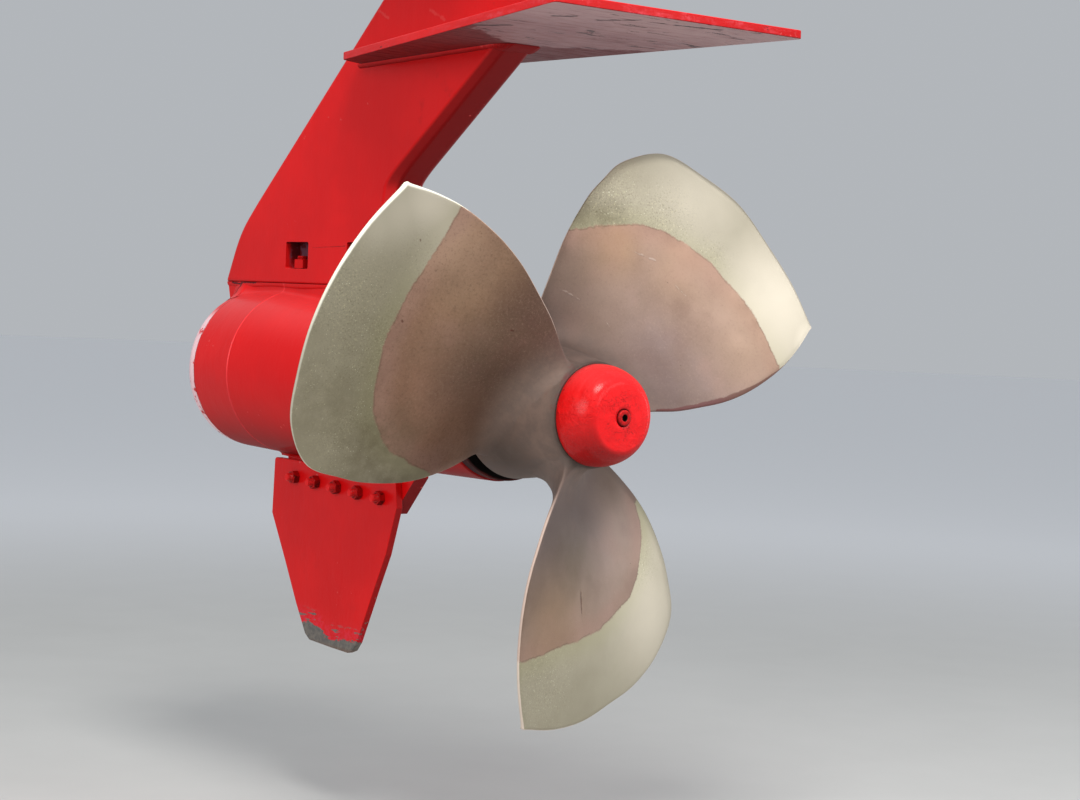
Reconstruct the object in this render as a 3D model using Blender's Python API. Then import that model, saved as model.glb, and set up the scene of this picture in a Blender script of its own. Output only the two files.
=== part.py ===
"""Three-bladed ship propeller on its drive leg.

World frame: +Z up, the shaft runs along Y and its cap points to -Y (aft), X is across.
The origin is the centre of the top flange's upper face, which the leg hangs from.
Everything below the flange is written in the shaft's frame: its origin is the point on
the shaft axis that lies in the plane of the three blade tips.
"""

import math

import bmesh
import bpy
from mathutils import Vector

# All sizes are in metres and all angles in degrees.
GAP = 0.0003

# Shaft
SHAFT_DROP = 0.880
SHAFT_AFT = 0.240
SHAFT_RADIUS = 0.045
SHAFT_LENGTH_IN_HOUSING = 0.180
SHAFT_RUNNING_GAP = 0.0006
SHAFT_END_INSET = 0.006
BORE_END_PLAY = 0.005
SHAFT_SIDES = 48

# Propeller casting
TIP_RADIUS = 0.550
BLADE_COUNT = 3
FIRST_BLADE_ANGLE = 137.33
HUB_FORE_Y = 0.197
HUB_AFT_Y = -0.012
HUB_FORE_RADIUS = 0.128
HUB_AFT_RADIUS = 0.092
HUB_FLARE_SHARE = 0.35
HUB_SIDES = 48
# Blade outline seen along the shaft: radius over tip radius, angle from the sharp corner.
LEADING_EDGE = (
    (1.000, 0.0), (1.000, 9.0), (0.997, 18.0), (0.9945, 27.0), (0.984, 36.0),
    (0.9665, 45.0), (0.897, 53.3), (0.790, 57.9), (0.701, 61.4), (0.562, 66.3),
    (0.407, 70.9), (0.250, 77.0), (0.190, 78.5),
)
TRAILING_EDGE = (
    (1.000, 0.0), (0.914, -3.0), (0.827, -5.9), (0.734, -8.5), (0.640, -10.9),
    (0.545, -12.8), (0.446, -14.0), (0.349, -15.1), (0.250, -14.6), (0.155, -14.6),
)
# What wear and filing changed on each blade: radius shares added along the leading edge.
TRIM_START = 3
BLADE_TRIMS = (
    (-0.004, -0.006, -0.002, 0.008, 0.004, 0.003),
    (0.012, 0.002, -0.002, -0.029, -0.0155, -0.005),
    (-0.010, 0.003, 0.0045, 0.0215, 0.011, 0.002),
)
# Pitch is the advance in one turn. Pitch and rake are given over the tip radius, and change
# with q = radius / tip radius - 1.
PITCH_AT_TIP = 1.836
PITCH_SLOPE = 2.255
PITCH_CURVE = 2.011
RAKE_SLOPE = 0.0273
RAKE_CURVE = -0.0444
BLADE_EDGE_THICKNESS = 0.006
BLADE_TIP_THICKNESS = 0.009
BLADE_ROOT_THICKNESS = 0.034
THICKNESS_POWER = 0.8
BACK_ARCH_POWER = 2.5
ROOT_FLARE = 0.014
ROOT_FLARE_REACH = 0.022
BLADE_ROWS = 22
BLADE_COLUMNS = 10

# Hub cap and its plug
CAP_RADIUS = 0.0885
CAP_LENGTH = 0.0742
CAP_RIM_LENGTH = 0.010
CAP_FACE_RADIUS = 0.055
CAP_SHOULDER_POWER = 1.6
CAP_SHOULDER_RINGS = 9
CAP_SIDES = 64
PLUG_RADIUS = 0.014
PLUG_DEPTH = 0.008
PLUG_PROUD = 0.004
PLUG_EDGE = 0.002
PLUG_HOLE_RADIUS = 0.0055
PLUG_HOLE_DEPTH = 0.008
PLUG_SIDES = 24

# Gear housing, its bearing cap and its nose
SEAL_RADIUS = 0.072
SEAL_RUNNING_GAP = 0.006
BEARING_CAP_AFT_Y = 0.2227
BEARING_CAP_LENGTH = 0.026
BEARING_CAP_RADIUS = 0.1346
POD_AFT_RADIUS = 0.1375
POD_FORE_RADIUS = 0.1673
POD_RISE = 0.026
POD_SIDES = 48
POD_RINGS = 4
NOSE_JOINT_Y = 0.950
NOSE_ROUND_START_Y = 1.0974
NOSE_ROUND_LENGTH = 0.0764
NOSE_RINGS = 10
NOSE_FACE_SHARE = 0.25

# Leg: half thickness, chamfered corners, side face edges given as height and Y
LEG_HALF_THICKNESS = 0.043
LEG_CHAMFER_X = 0.017
LEG_CHAMFER_Y = 0.022
LEG_FOOT_Z = 0.207
LEG_FORE_EDGE = (
    (0.207, 1.1766), (0.250, 1.1562), (0.290, 1.1355), (0.326, 1.1090), (0.373, 1.0600),
)
LEG_AFT_EDGE = ((0.207, 0.6110), (0.380, 0.5970), (0.410, 0.5860), (0.435, 0.5580))
LEG_FORE_RAKE = 48.7
LEG_AFT_RAKE = 54.3
NECK_INSET = 0.004
NECK_ROOT_Z = 0.070
NECK_PROW_SLOPE = 0.040

# Wrench pockets in the foot of the leg
POCKET_LENGTH = 0.084
POCKET_HEIGHT = 0.054
POCKET_DEPTH = 0.034
POCKET_FLOOR_Z = 0.2375
POCKET_CENTRES_Y = (0.901, 0.676)
POCKET_NUT_ACROSS = 0.032
POCKET_NUT_INSET = 0.0015
POCKET_NUT_SHIFT = 0.005
POCKET_NUT_HEIGHT = 0.019
STUD_RADIUS = 0.011
STUD_PROUD = 0.007

# Mounting flange on top
FLANGE_THICKNESS = 0.022
FLANGE_LENGTH = 0.740
FLANGE_WIDTH = 0.260
FLANGE_CORNER = 0.030
FLANGE_HOLE_RADIUS = 0.011
FLANGE_HOLE_EDGE = 0.032
FLANGE_HOLES_A_SIDE = 4
FLANGE_HOLE_SIDES = 16
WELD_LEG = 0.009

# Horizontal plate over the propeller
PLATE_THICKNESS = 0.015
PLATE_UNDERSIDE_Z = 0.654
PLATE_TILT = -1.43
PLATE_AFT_Y = -0.197
PLATE_AFT_HALF_WIDTH = 0.274
PLATE_FORE_Y = 0.665
PLATE_FORE_HALF_WIDTH = 0.104
PLATE_ARM_END_Y = 0.697
PLATE_CORNER = 0.008
PLATE_WELD_LEG = 0.009
PLATE_AFT_FLARE = 0.024
WELD_TOE = 0.001

# Fin under the housing, its heights given from the housing's underside
STUB_HALF_THICKNESS = 0.015
STUB_OUTLINE = (
    (0.494, 0.051), (0.494, -0.012), (0.560, -0.087), (0.955, -0.087), (0.975, -0.064),
    (0.975, 0.051),
)
SKEG_THICKNESS = 0.015
SKEG_OUTLINE = (
    (0.977, -0.010), (0.981, -0.125), (0.924, -0.218), (0.876, -0.300), (0.838, -0.357),
    (0.822, -0.367), (0.744, -0.371), (0.682, -0.373), (0.666, -0.367), (0.650, -0.348),
    (0.598, -0.239), (0.562, -0.166), (0.5315, -0.073), (0.5385, -0.019), (0.539, -0.010),
)
SKEG_BOLT_COUNT = 5
SKEG_BOLT_FIRST = (0.891, -0.044)
SKEG_BOLT_LAST = (0.583, -0.0575)
SKEG_BOLT_RADIUS = 0.008
SKEG_BOLT_SIDES = 12
SKEG_BOLT_ACROSS = 0.024
SKEG_BOLT_HEAD = 0.010
SKEG_NUT_HEIGHT = 0.013
SKEG_BOLT_PROUD = 0.011
SKEG_HOLE_SIDES = 16


def clear_scene():
    for old in list(bpy.data.objects):
        bpy.data.objects.remove(old, do_unlink=True)


def make_material(name, colour, roughness, metallic):
    material = bpy.data.materials.new(name)
    material.use_nodes = True
    shader = material.node_tree.nodes["Principled BSDF"]
    shader.inputs["Base Color"].default_value = (*colour, 1.0)
    shader.inputs["Roughness"].default_value = roughness
    shader.inputs["Metallic"].default_value = metallic
    return material


def add_empty(name, location, parent=None):
    empty = bpy.data.objects.new(name, None)
    empty.location = location
    empty.parent = parent
    bpy.context.collection.objects.link(empty)
    return empty


def add_object(name, mesh, parent, material=None, smooth_angle=None):
    thing = bpy.data.objects.new(name, mesh)
    bpy.context.collection.objects.link(thing)
    thing.parent = parent
    if material:
        mesh.materials.append(material)
    if smooth_angle:
        mesh.shade_smooth()
        mesh.set_sharp_from_angle(angle=math.radians(smooth_angle))
    return thing


def add_cutter(name, mesh, parent):
    cutter = add_object(name, mesh, parent)
    cutter.hide_render = True
    cutter.display_type = "WIRE"
    return cutter


def boolean(thing, other, operation):
    step = thing.modifiers.new(other.name, "BOOLEAN")
    step.object = other
    step.operation = operation
    step.solver = "EXACT"


def mesh_from(name, bm):
    bmesh.ops.recalc_face_normals(bm, faces=bm.faces)
    mesh = bpy.data.meshes.new(name)
    bm.to_mesh(mesh)
    bm.free()
    return mesh


def skin(bm, rings):
    """Add a closed skin through rings with the same number of points, capped at both ends."""
    rows = [[bm.verts.new(point) for point in ring] for ring in rings]
    count = len(rows[0])
    for low, high in zip(rows, rows[1:]):
        for i in range(count):
            j = (i + 1) % count
            bm.faces.new((low[i], low[j], high[j], high[i]))
    bm.faces.new(list(reversed(rows[0])))
    bm.faces.new(rows[-1])


def loft(name, rings):
    bm = bmesh.new()
    skin(bm, rings)
    return mesh_from(name, bm)


def rods(name, ends):
    """Several separate rods in one mesh, each given by its two end rings."""
    bm = bmesh.new()
    for pair in ends:
        skin(bm, pair)
    return mesh_from(name, bm)


def closed_band(name, rings):
    """A closed ring-shaped solid: the last ring of points joins the first."""
    bm = bmesh.new()
    rows = [[bm.verts.new(point) for point in ring] for ring in rings]
    count = len(rows[0])
    for k, low in enumerate(rows):
        high = rows[(k + 1) % len(rows)]
        for i in range(count):
            j = (i + 1) % count
            bm.faces.new((low[i], low[j], high[j], high[i]))
    return mesh_from(name, bm)


def ring_points(radius, sides):
    """Pairs of numbers round a circle, starting on its first axis."""
    turns = [2 * math.pi * i / sides for i in range(sides)]
    return [(radius * math.cos(t), radius * math.sin(t)) for t in turns]


def circle(radius, y, sides, z=0.0):
    """Points of a circle round the shaft axis, or round a line above it."""
    return [Vector((a, y, z + b)) for a, b in ring_points(radius, sides)]


def disc(radius, centre, x, sides):
    """Points of a circle in an upright plane across X."""
    return [Vector((x, centre[0] + a, centre[1] + b)) for a, b in ring_points(radius, sides)]


def hexagon_points(across):
    """A hexagon's six corners with the middles of its sides between them."""
    corners = ring_points(across / math.sqrt(3), 6)
    points = []
    for k in range(6):
        (a, b), (c, d) = corners[k], corners[(k + 1) % 6]
        points.append((a, b))
        points.append(((a + c) / 2, (b + d) / 2))
    return points


def hexagon(across, centre, x):
    return [Vector((x, centre[0] + a, centre[1] + b)) for a, b in hexagon_points(across)]


def turned(name, profile, sides):
    """A solid turned round the shaft axis from (radius, y) points, capped at both ends."""
    return loft(name, [circle(radius, y, sides) for radius, y in profile])


def turned_ring(name, profile, sides):
    return closed_band(name, [circle(radius, y, sides) for radius, y in profile])


def slab(name, outline, x_low, x_high):
    """An upright plate: an outline of (y, z) points between two X values."""
    return loft(name, [[Vector((x, y, z)) for y, z in outline] for x in (x_low, x_high)])


def box(name, low, high):
    corners = ((low[0], low[1]), (high[0], low[1]), (high[0], high[1]), (low[0], high[1]))
    return loft(name, [[Vector((x, y, z)) for x, y in corners] for z in (low[2], high[2])])


def spline_points(controls, count):
    """Evenly spaced points on a Catmull-Rom curve through the control points."""
    dense = []
    for k in range(len(controls) - 1):
        before = controls[k - 1] if k else controls[0] * 2 - controls[1]
        start = controls[k]
        end = controls[k + 1]
        after = controls[k + 2] if k + 2 < len(controls) else end * 2 - start
        for step in range(16):
            t = step / 16
            a = start * 2
            b = (end - before) * t
            c = (before * 2 - start * 5 + end * 4 - after) * t * t
            d = (start * 3 - before - end * 3 + after) * t * t * t
            dense.append((a + b + c + d) / 2)
    dense.append(controls[-1])
    lengths = [0.0]
    for p, q in zip(dense, dense[1:]):
        lengths.append(lengths[-1] + (q - p).length)
    points = []
    k = 0
    for i in range(count):
        target = lengths[-1] * i / (count - 1)
        while k < len(dense) - 2 and lengths[k + 1] < target:
            k += 1
        share = (target - lengths[k]) / (lengths[k + 1] - lengths[k])
        points.append(dense[k].lerp(dense[k + 1], min(share, 1.0)))
    return points


def face_advance(radius, angle):
    """How far aft the blade's face lies at a radius and an angle in radians."""
    inward = radius / TIP_RADIUS - 1
    pitch = PITCH_AT_TIP + PITCH_SLOPE * inward + PITCH_CURVE * inward ** 2
    rake = RAKE_SLOPE * inward + RAKE_CURVE * inward ** 2
    return TIP_RADIUS * (rake - pitch * angle / (2 * math.pi))


def face_point(radius, angle, turn):
    """A point of the face, on a blade turned round the shaft by turn."""
    around = angle + turn
    return Vector((radius * math.cos(around), -face_advance(radius, angle), radius * math.sin(around)))


def face_normal(radius, angle, turn):
    """Unit normal of the face, pointing forward, from two short steps on it."""
    step = 0.001
    here = face_point(radius, angle, turn)
    outward = face_point(radius + step, angle, turn) - here
    along = face_point(radius, angle + step, turn) - here
    normal = outward.cross(along).normalized()
    return normal if normal.y > 0 else -normal


def root_flare(radius):
    """Extra half thickness that rounds the blade into the hub."""
    return ROOT_FLARE * math.exp(-abs(radius - HUB_FORE_RADIUS) / ROOT_FLARE_REACH)


def back_height(radius, chord_share):
    """How far the blade's back stands off the edges at a share of the way across."""
    out = min(max((radius - HUB_FORE_RADIUS) / (TIP_RADIUS - HUB_FORE_RADIUS), 0.0), 1.0)
    middle = BLADE_ROOT_THICKNESS + (BLADE_TIP_THICKNESS - BLADE_ROOT_THICKNESS) * out ** THICKNESS_POWER
    arch = 1 - abs(2 * chord_share - 1) ** BACK_ARCH_POWER
    return (middle - BLADE_EDGE_THICKNESS) * arch


def edge_points(outline, count):
    """Radius and angle of evenly spaced points along one edge, from the root to the corner."""
    controls = []
    for share, degrees in reversed(outline):
        angle = math.radians(degrees)
        controls.append(Vector((math.cos(angle), math.sin(angle))) * share * TIP_RADIUS)
    return [Vector((p.length, math.atan2(p.y, p.x))) for p in spline_points(controls, count)]


def trimmed_edge(trims):
    points = list(LEADING_EDGE)
    for k, change in enumerate(trims, TRIM_START):
        share, degrees = points[k]
        points[k] = (share + change, degrees)
    return points


def blade_mesh(name, turn, trims):
    """One closed blade: rows run from the root to the sharp corner, columns across."""
    trailing = edge_points(TRAILING_EDGE, BLADE_ROWS + 1)
    leading = edge_points(trimmed_edge(trims), BLADE_ROWS + 1)
    bm = bmesh.new()
    faces = []
    backs = []
    for k in range(BLADE_ROWS + 1):
        shares = [i / BLADE_COLUMNS for i in range(BLADE_COLUMNS + 1)]
        if k == BLADE_ROWS:
            shares = [0.0]
        face_row = []
        back_row = []
        for share in shares:
            radius, angle = trailing[k].lerp(leading[k], share)
            point = face_point(radius, angle, turn)
            normal = face_normal(radius, angle, turn)
            half = BLADE_EDGE_THICKNESS / 2 + root_flare(radius)
            face_row.append(bm.verts.new(point - normal * half))
            back_row.append(bm.verts.new(point + normal * (half + back_height(radius, share))))
        faces.append(face_row)
        backs.append(back_row)
    for sheet in (faces, backs):
        for low, high in zip(sheet, sheet[1:]):
            for i in range(len(low) - 1):
                upper = (high[i + 1], high[i]) if len(high) > 1 else (high[0],)
                bm.faces.new((low[i], low[i + 1], *upper))
    for side in (0, -1):
        for k in range(BLADE_ROWS):
            bm.faces.new((faces[k][side], faces[k + 1][side], backs[k + 1][side], backs[k][side]))
    for i in range(BLADE_COLUMNS):
        bm.faces.new((faces[0][i], faces[0][i + 1], backs[0][i + 1], backs[0][i]))
    return mesh_from(name, bm)


def hub_profile():
    """Hub from its aft face forward: a cone that flares towards the housing."""
    length = HUB_FORE_Y - HUB_AFT_Y
    points = []
    for share in (0.0, 0.15, 0.3, 0.45, 0.6, 0.75, 0.9, 1.0):
        rise = (1 - HUB_FLARE_SHARE) * share + HUB_FLARE_SHARE * math.sin(share * math.pi / 2)
        radius = HUB_AFT_RADIUS + (HUB_FORE_RADIUS - HUB_AFT_RADIUS) * rise
        points.append((radius, HUB_AFT_Y + length * share))
    return points


def add_propeller(spin, bronze):
    hub = add_object("propeller", turned("propeller", hub_profile(), HUB_SIDES), spin, bronze, 35)
    for k in range(BLADE_COUNT):
        turn = math.radians(FIRST_BLADE_ANGLE - 360 * k / BLADE_COUNT)
        trims = BLADE_TRIMS[k % len(BLADE_TRIMS)]
        blade = add_cutter(f"blade_form_{k + 1}", blade_mesh("blade_form", turn, trims), spin)
        boolean(hub, blade, "UNION")
    core = turned("shaft_bore", shaft_bore_profile(), SHAFT_SIDES)
    boolean(hub, add_cutter("shaft_bore", core, spin), "DIFFERENCE")


def shaft_end_y():
    """Where the shaft stops inside the hub, just short of the cap."""
    return HUB_AFT_Y + SHAFT_END_INSET


def shaft_bore_profile():
    overshoot = SHAFT_RADIUS
    radius = SHAFT_RADIUS + GAP
    return [(radius, HUB_AFT_Y - overshoot), (radius, HUB_FORE_Y + overshoot)]


def add_shaft(spin, steel):
    fore_y = BEARING_CAP_AFT_Y + SHAFT_LENGTH_IN_HOUSING
    profile = [(SHAFT_RADIUS, shaft_end_y()), (SHAFT_RADIUS, fore_y)]
    add_object("propeller_shaft", turned("propeller_shaft", profile, SHAFT_SIDES), spin, steel, 35)


def cap_profile():
    """Cap from its rim aft: a short cylinder, a round shoulder and a flat face."""
    rim_y = HUB_AFT_Y - GAP
    shoulder_reach = CAP_RADIUS - CAP_FACE_RADIUS
    shoulder_length = CAP_LENGTH - CAP_RIM_LENGTH
    points = [(CAP_RADIUS, rim_y)]
    for k in range(CAP_SHOULDER_RINGS):
        angle = math.pi / 2 * k / (CAP_SHOULDER_RINGS - 1)
        across = max(math.cos(angle), 0.0) ** (2 / CAP_SHOULDER_POWER)
        along = math.sin(angle) ** (2 / CAP_SHOULDER_POWER)
        y = rim_y - CAP_RIM_LENGTH - shoulder_length * along
        points.append((CAP_FACE_RADIUS + shoulder_reach * across, y))
    return points


def add_cap(spin, red, steel):
    face_y = HUB_AFT_Y - GAP - CAP_LENGTH
    cap = add_object("hub_cap", turned("hub_cap", cap_profile(), CAP_SIDES), spin, red, 35)
    seat = [(PLUG_RADIUS + GAP, face_y - PLUG_DEPTH), (PLUG_RADIUS + GAP, face_y + PLUG_DEPTH)]
    boolean(cap, add_cutter("plug_seat", turned("plug_seat", seat, PLUG_SIDES), spin), "DIFFERENCE")
    end_y = face_y - PLUG_PROUD
    plug = [
        (PLUG_RADIUS, face_y + PLUG_DEPTH - GAP), (PLUG_RADIUS, end_y + PLUG_EDGE),
        (PLUG_RADIUS - PLUG_EDGE, end_y), (PLUG_HOLE_RADIUS, end_y),
        (PLUG_HOLE_RADIUS, end_y + PLUG_HOLE_DEPTH),
    ]
    add_object("cap_plug", turned("cap_plug", plug, PLUG_SIDES), spin, steel, 35)


def line_at(edge, rake, z):
    """Y of a side face edge at height z: straight between its points, raked above them."""
    if z >= edge[-1][0]:
        return edge[-1][1] - (z - edge[-1][0]) * math.tan(math.radians(rake))
    for (z_low, y_low), (z_high, y_high) in zip(edge, edge[1:]):
        if z <= z_high:
            return y_low + (y_high - y_low) * max(z - z_low, 0.0) / (z_high - z_low)
    return edge[-1][1]


def leg_section(z, grow=0.0):
    """The leg's eight-sided section at height z, grown outward by grow."""
    fore = line_at(LEG_FORE_EDGE, LEG_FORE_RAKE, z)
    aft = line_at(LEG_AFT_EDGE, LEG_AFT_RAKE, z)
    wide = LEG_HALF_THICKNESS + grow
    narrow = wide - LEG_CHAMFER_X
    fore_tip = fore + LEG_CHAMFER_Y + grow
    aft_tip = aft - LEG_CHAMFER_Y - grow
    half = [(narrow, aft_tip), (wide, aft), (wide, fore), (narrow, fore_tip)]
    outline = half + [(-x, y) for x, y in reversed(half)]
    return [Vector((x, y, z)) for x, y in outline]


def leg_levels(low, high):
    bends = {z for z, _ in LEG_FORE_EDGE + LEG_AFT_EDGE if low < z < high}
    return sorted(bends | {low, high})


def leg_top_z():
    return SHAFT_DROP - FLANGE_THICKNESS - GAP


def add_leg(frame, red, steel):
    levels = leg_levels(LEG_FOOT_Z, leg_top_z())
    leg = add_object("drive_leg", loft("drive_leg", [leg_section(z) for z in levels]), frame, red)
    for k, centre in enumerate(POCKET_CENTRES_Y):
        for side, tag in ((-1, "port"), (1, "starboard")):
            deep = side * (LEG_HALF_THICKNESS - POCKET_DEPTH)
            out = side * (LEG_HALF_THICKNESS + POCKET_DEPTH)
            low = (min(deep, out), centre - POCKET_LENGTH / 2, POCKET_FLOOR_Z)
            high = (max(deep, out), centre + POCKET_LENGTH / 2, POCKET_FLOOR_Z + POCKET_HEIGHT)
            name = f"pocket_{tag}_{k + 1}"
            boolean(leg, add_cutter(name, box(name, low, high), frame), "DIFFERENCE")
            nut_y = centre + POCKET_NUT_SHIFT
            add_pocket_nut(f"pocket_nut_{tag}_{k + 1}", side, nut_y, frame, steel)


def add_pocket_nut(name, side, centre, frame, steel):
    """A nut on the pocket's floor with the end of its stud standing out of it."""
    x = side * (LEG_HALF_THICKNESS - POCKET_NUT_INSET - POCKET_NUT_ACROSS / 2)
    base = POCKET_FLOOR_Z + GAP
    top = base + POCKET_NUT_HEIGHT
    nut = hexagon_points(POCKET_NUT_ACROSS)
    stud = ring_points(STUD_RADIUS, len(nut))
    levels = ((nut, base), (nut, top), (stud, top), (stud, top + STUD_PROUD))
    rings = [[Vector((x + b, centre + a, z)) for a, b in outline] for outline, z in levels]
    add_object(name, loft(name, rings), frame, steel)


def add_weld(name, z_thin, z_thick, frame, red):
    """A fillet weld round the leg, thick where it meets a plate and thin on the leg."""
    rings = [
        leg_section(z_thick, GAP),
        leg_section(z_thin, GAP),
        leg_section(z_thin, GAP + WELD_TOE),
        leg_section(z_thick, GAP + WELD_LEG),
    ]
    add_object(name, closed_band(name, rings), frame, red)


def add_flange(frame, red):
    low = leg_top_z() + GAP
    high = SHAFT_DROP
    fore = SHAFT_AFT + FLANGE_LENGTH / 2
    aft = SHAFT_AFT - FLANGE_LENGTH / 2
    half = FLANGE_WIDTH / 2
    outline = rounded_outline(((half, aft), (half, fore), (-half, fore), (-half, aft)), FLANGE_CORNER, 4)
    rings = [[Vector((x, y, z)) for x, y in outline] for z in (low, high)]
    flange = add_object("mounting_flange", loft("mounting_flange", rings), frame, red)
    holes = []
    for x in (FLANGE_HOLE_EDGE - half, half - FLANGE_HOLE_EDGE):
        for k in range(FLANGE_HOLES_A_SIDE):
            share = k / (FLANGE_HOLES_A_SIDE - 1)
            y = aft + FLANGE_HOLE_EDGE + (FLANGE_LENGTH - 2 * FLANGE_HOLE_EDGE) * share
            ring = ring_points(FLANGE_HOLE_RADIUS, FLANGE_HOLE_SIDES)
            ends = (low - FLANGE_THICKNESS, high + FLANGE_THICKNESS)
            holes.append([[Vector((x + a, y + b, z)) for a, b in ring] for z in ends])
    boolean(flange, add_cutter("flange_holes", rods("flange_holes", holes), frame), "DIFFERENCE")


def rounded_outline(corners, radius, steps):
    """Outline with each corner replaced by an arc, which starts and ends on its two sides."""
    points = []
    count = len(corners)
    for k in range(count):
        corner = Vector(corners[k])
        before = (Vector(corners[k - 1]) - corner).normalized()
        after = (Vector(corners[(k + 1) % count]) - corner).normalized()
        half_angle = before.angle(after) / 2
        reach = radius / math.tan(half_angle)
        centre = corner + (before + after).normalized() * radius / math.sin(half_angle)
        start = corner + before * reach - centre
        end = corner + after * reach - centre
        for step in range(steps + 1):
            share = step / steps
            spoke = start.lerp(end, share)
            points.append(tuple(centre + spoke.normalized() * radius))
    return points


def plate_point(x, y, height):
    """A point of the tilted plate: height is measured up from its underside."""
    tilt = math.radians(PLATE_TILT)
    z = PLATE_UNDERSIDE_Z + y * math.tan(tilt) + height * math.cos(tilt)
    return Vector((x, y - height * math.sin(tilt), z))


def add_plate(frame, red):
    """A plate that wraps the leg's sides and aft face and is open in front of it."""
    corners = (
        (PLATE_AFT_HALF_WIDTH, PLATE_AFT_Y), (PLATE_FORE_HALF_WIDTH, PLATE_FORE_Y),
        (-PLATE_FORE_HALF_WIDTH, PLATE_FORE_Y), (-PLATE_AFT_HALF_WIDTH, PLATE_AFT_Y),
    )
    rounded = rounded_outline(corners, PLATE_CORNER, 4)
    half = len(rounded) // 2
    inner = LEG_HALF_THICKNESS - LEG_CHAMFER_X
    front = [(inner, PLATE_ARM_END_Y), (-inner, PLATE_ARM_END_Y)]
    outline = rounded[:half] + front + rounded[half:]
    rings = [[plate_point(x, y, height) for x, y in outline] for height in (0.0, PLATE_THICKNESS)]
    plate = add_object("cavitation_plate", loft("cavitation_plate", rings), frame, red)
    reach = (-PLATE_THICKNESS, 2 * PLATE_THICKNESS)
    slot = loft("leg_slot", [plate_section(height, GAP) for height in reach])
    boolean(plate, add_cutter("leg_slot", slot, frame), "DIFFERENCE")


def plate_section(height, grow):
    """The leg's section where it passes a level of the tilted plate."""
    tilt = math.radians(PLATE_TILT)
    points = []
    for k, start in enumerate(leg_section(PLATE_UNDERSIDE_Z, grow)):
        point = start
        for _ in range(8):
            z = PLATE_UNDERSIDE_Z + point.y * math.tan(tilt) + height / math.cos(tilt)
            point = leg_section(z, grow)[k]
        points.append(point)
    return points


def add_plate_weld(frame, red):
    """The weld under the plate: thin along the leg's sides, flared behind its aft face."""
    sideways = Vector((1.0, 0.0, 0.0))
    behind = Vector((0.0, -1.0, 0.0))
    top = plate_section(-GAP, GAP)
    thin = plate_section(-PLATE_WELD_LEG, GAP)
    deep = plate_section(-PLATE_AFT_FLARE, GAP)
    x = LEG_HALF_THICKNESS + GAP
    end_top = plate_point(x, PLATE_ARM_END_Y, -GAP)
    end_low = plate_point(x, PLATE_ARM_END_Y, -PLATE_WELD_LEG)
    half = [
        (end_top, end_low, end_low + sideways * WELD_TOE, end_top + sideways * PLATE_WELD_LEG),
        (top[1], thin[1], thin[1] + sideways * WELD_TOE, top[1] + sideways * PLATE_WELD_LEG),
        (top[0], deep[0], deep[0] + behind * WELD_TOE, top[0] + behind * PLATE_AFT_FLARE),
    ]
    other = [[Vector((-p.x, p.y, p.z)) for p in ring] for ring in reversed(half)]
    add_object("plate_weld", loft("plate_weld", half + other), frame, red)


def nose_radius(y):
    share = min(max((y - NOSE_ROUND_START_Y) / NOSE_ROUND_LENGTH, 0.0), 1.0)
    return POD_FORE_RADIUS * math.sqrt(1 - share ** 2)


def neck_mesh(name, y_low, y_high):
    """The part of the neck between two Y values: the leg's foot section, inset a little.

    Its fore end slopes back towards the nose on the way down.
    """
    section = leg_section(LEG_FOOT_Z, -NECK_INSET)
    kept = []
    count = len(section)
    for k in range(count):
        a = section[k]
        b = section[(k + 1) % count]
        if y_low <= a.y <= y_high:
            kept.append((a.x, a.y))
        for limit in (y_low, y_high):
            if (a.y - limit) * (b.y - limit) < 0:
                kept.append((a.x, limit))
    foot = []
    for x, y in kept:
        drop = NECK_PROW_SLOPE if y > NOSE_ROUND_START_Y else 0.0
        foot.append(Vector((x, y - drop, NECK_ROOT_Z)))
    return loft(name, [foot, [Vector((x, y, LEG_FOOT_Z - GAP)) for x, y in kept]])


def add_housing(frame, red):
    aft_y = BEARING_CAP_AFT_Y + BEARING_CAP_LENGTH + GAP
    fore_y = NOSE_JOINT_Y - GAP
    rings = []
    for k in range(POD_RINGS):
        share = k / (POD_RINGS - 1)
        radius = POD_AFT_RADIUS + (nose_radius(fore_y) - POD_AFT_RADIUS) * share
        rings.append(circle(radius, aft_y + (fore_y - aft_y) * share, POD_SIDES, POD_RISE * share))
    housing = add_object("gear_housing", loft("gear_housing", rings), frame, red, 35)
    neck = neck_mesh("neck_form", 0.0, fore_y)
    boolean(housing, add_cutter("neck_form", neck, frame), "UNION")
    outline = [(min(y, fore_y), z) for y, z in under_pod(STUB_OUTLINE)]
    stub = slab("stub_fin_form", outline, -STUB_HALF_THICKNESS, STUB_HALF_THICKNESS)
    boolean(housing, add_cutter("stub_fin_form", stub, frame), "UNION")
    bore = [
        (SHAFT_RADIUS + SHAFT_RUNNING_GAP, aft_y - SHAFT_RADIUS),
        (SHAFT_RADIUS + SHAFT_RUNNING_GAP, BEARING_CAP_AFT_Y + SHAFT_LENGTH_IN_HOUSING + BORE_END_PLAY),
    ]
    bore_form = turned("bearing_bore", bore, SHAFT_SIDES)
    boolean(housing, add_cutter("bearing_bore", bore_form, frame), "DIFFERENCE")
    holes = bolt_holes("stub_holes", STUB_HALF_THICKNESS * 2)
    boolean(housing, add_cutter("stub_holes", holes, frame), "DIFFERENCE")


def under_pod(outline):
    """Outline points whose heights were given from the housing's underside."""
    return [(y, z + POD_RISE - POD_FORE_RADIUS) for y, z in outline]


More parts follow.
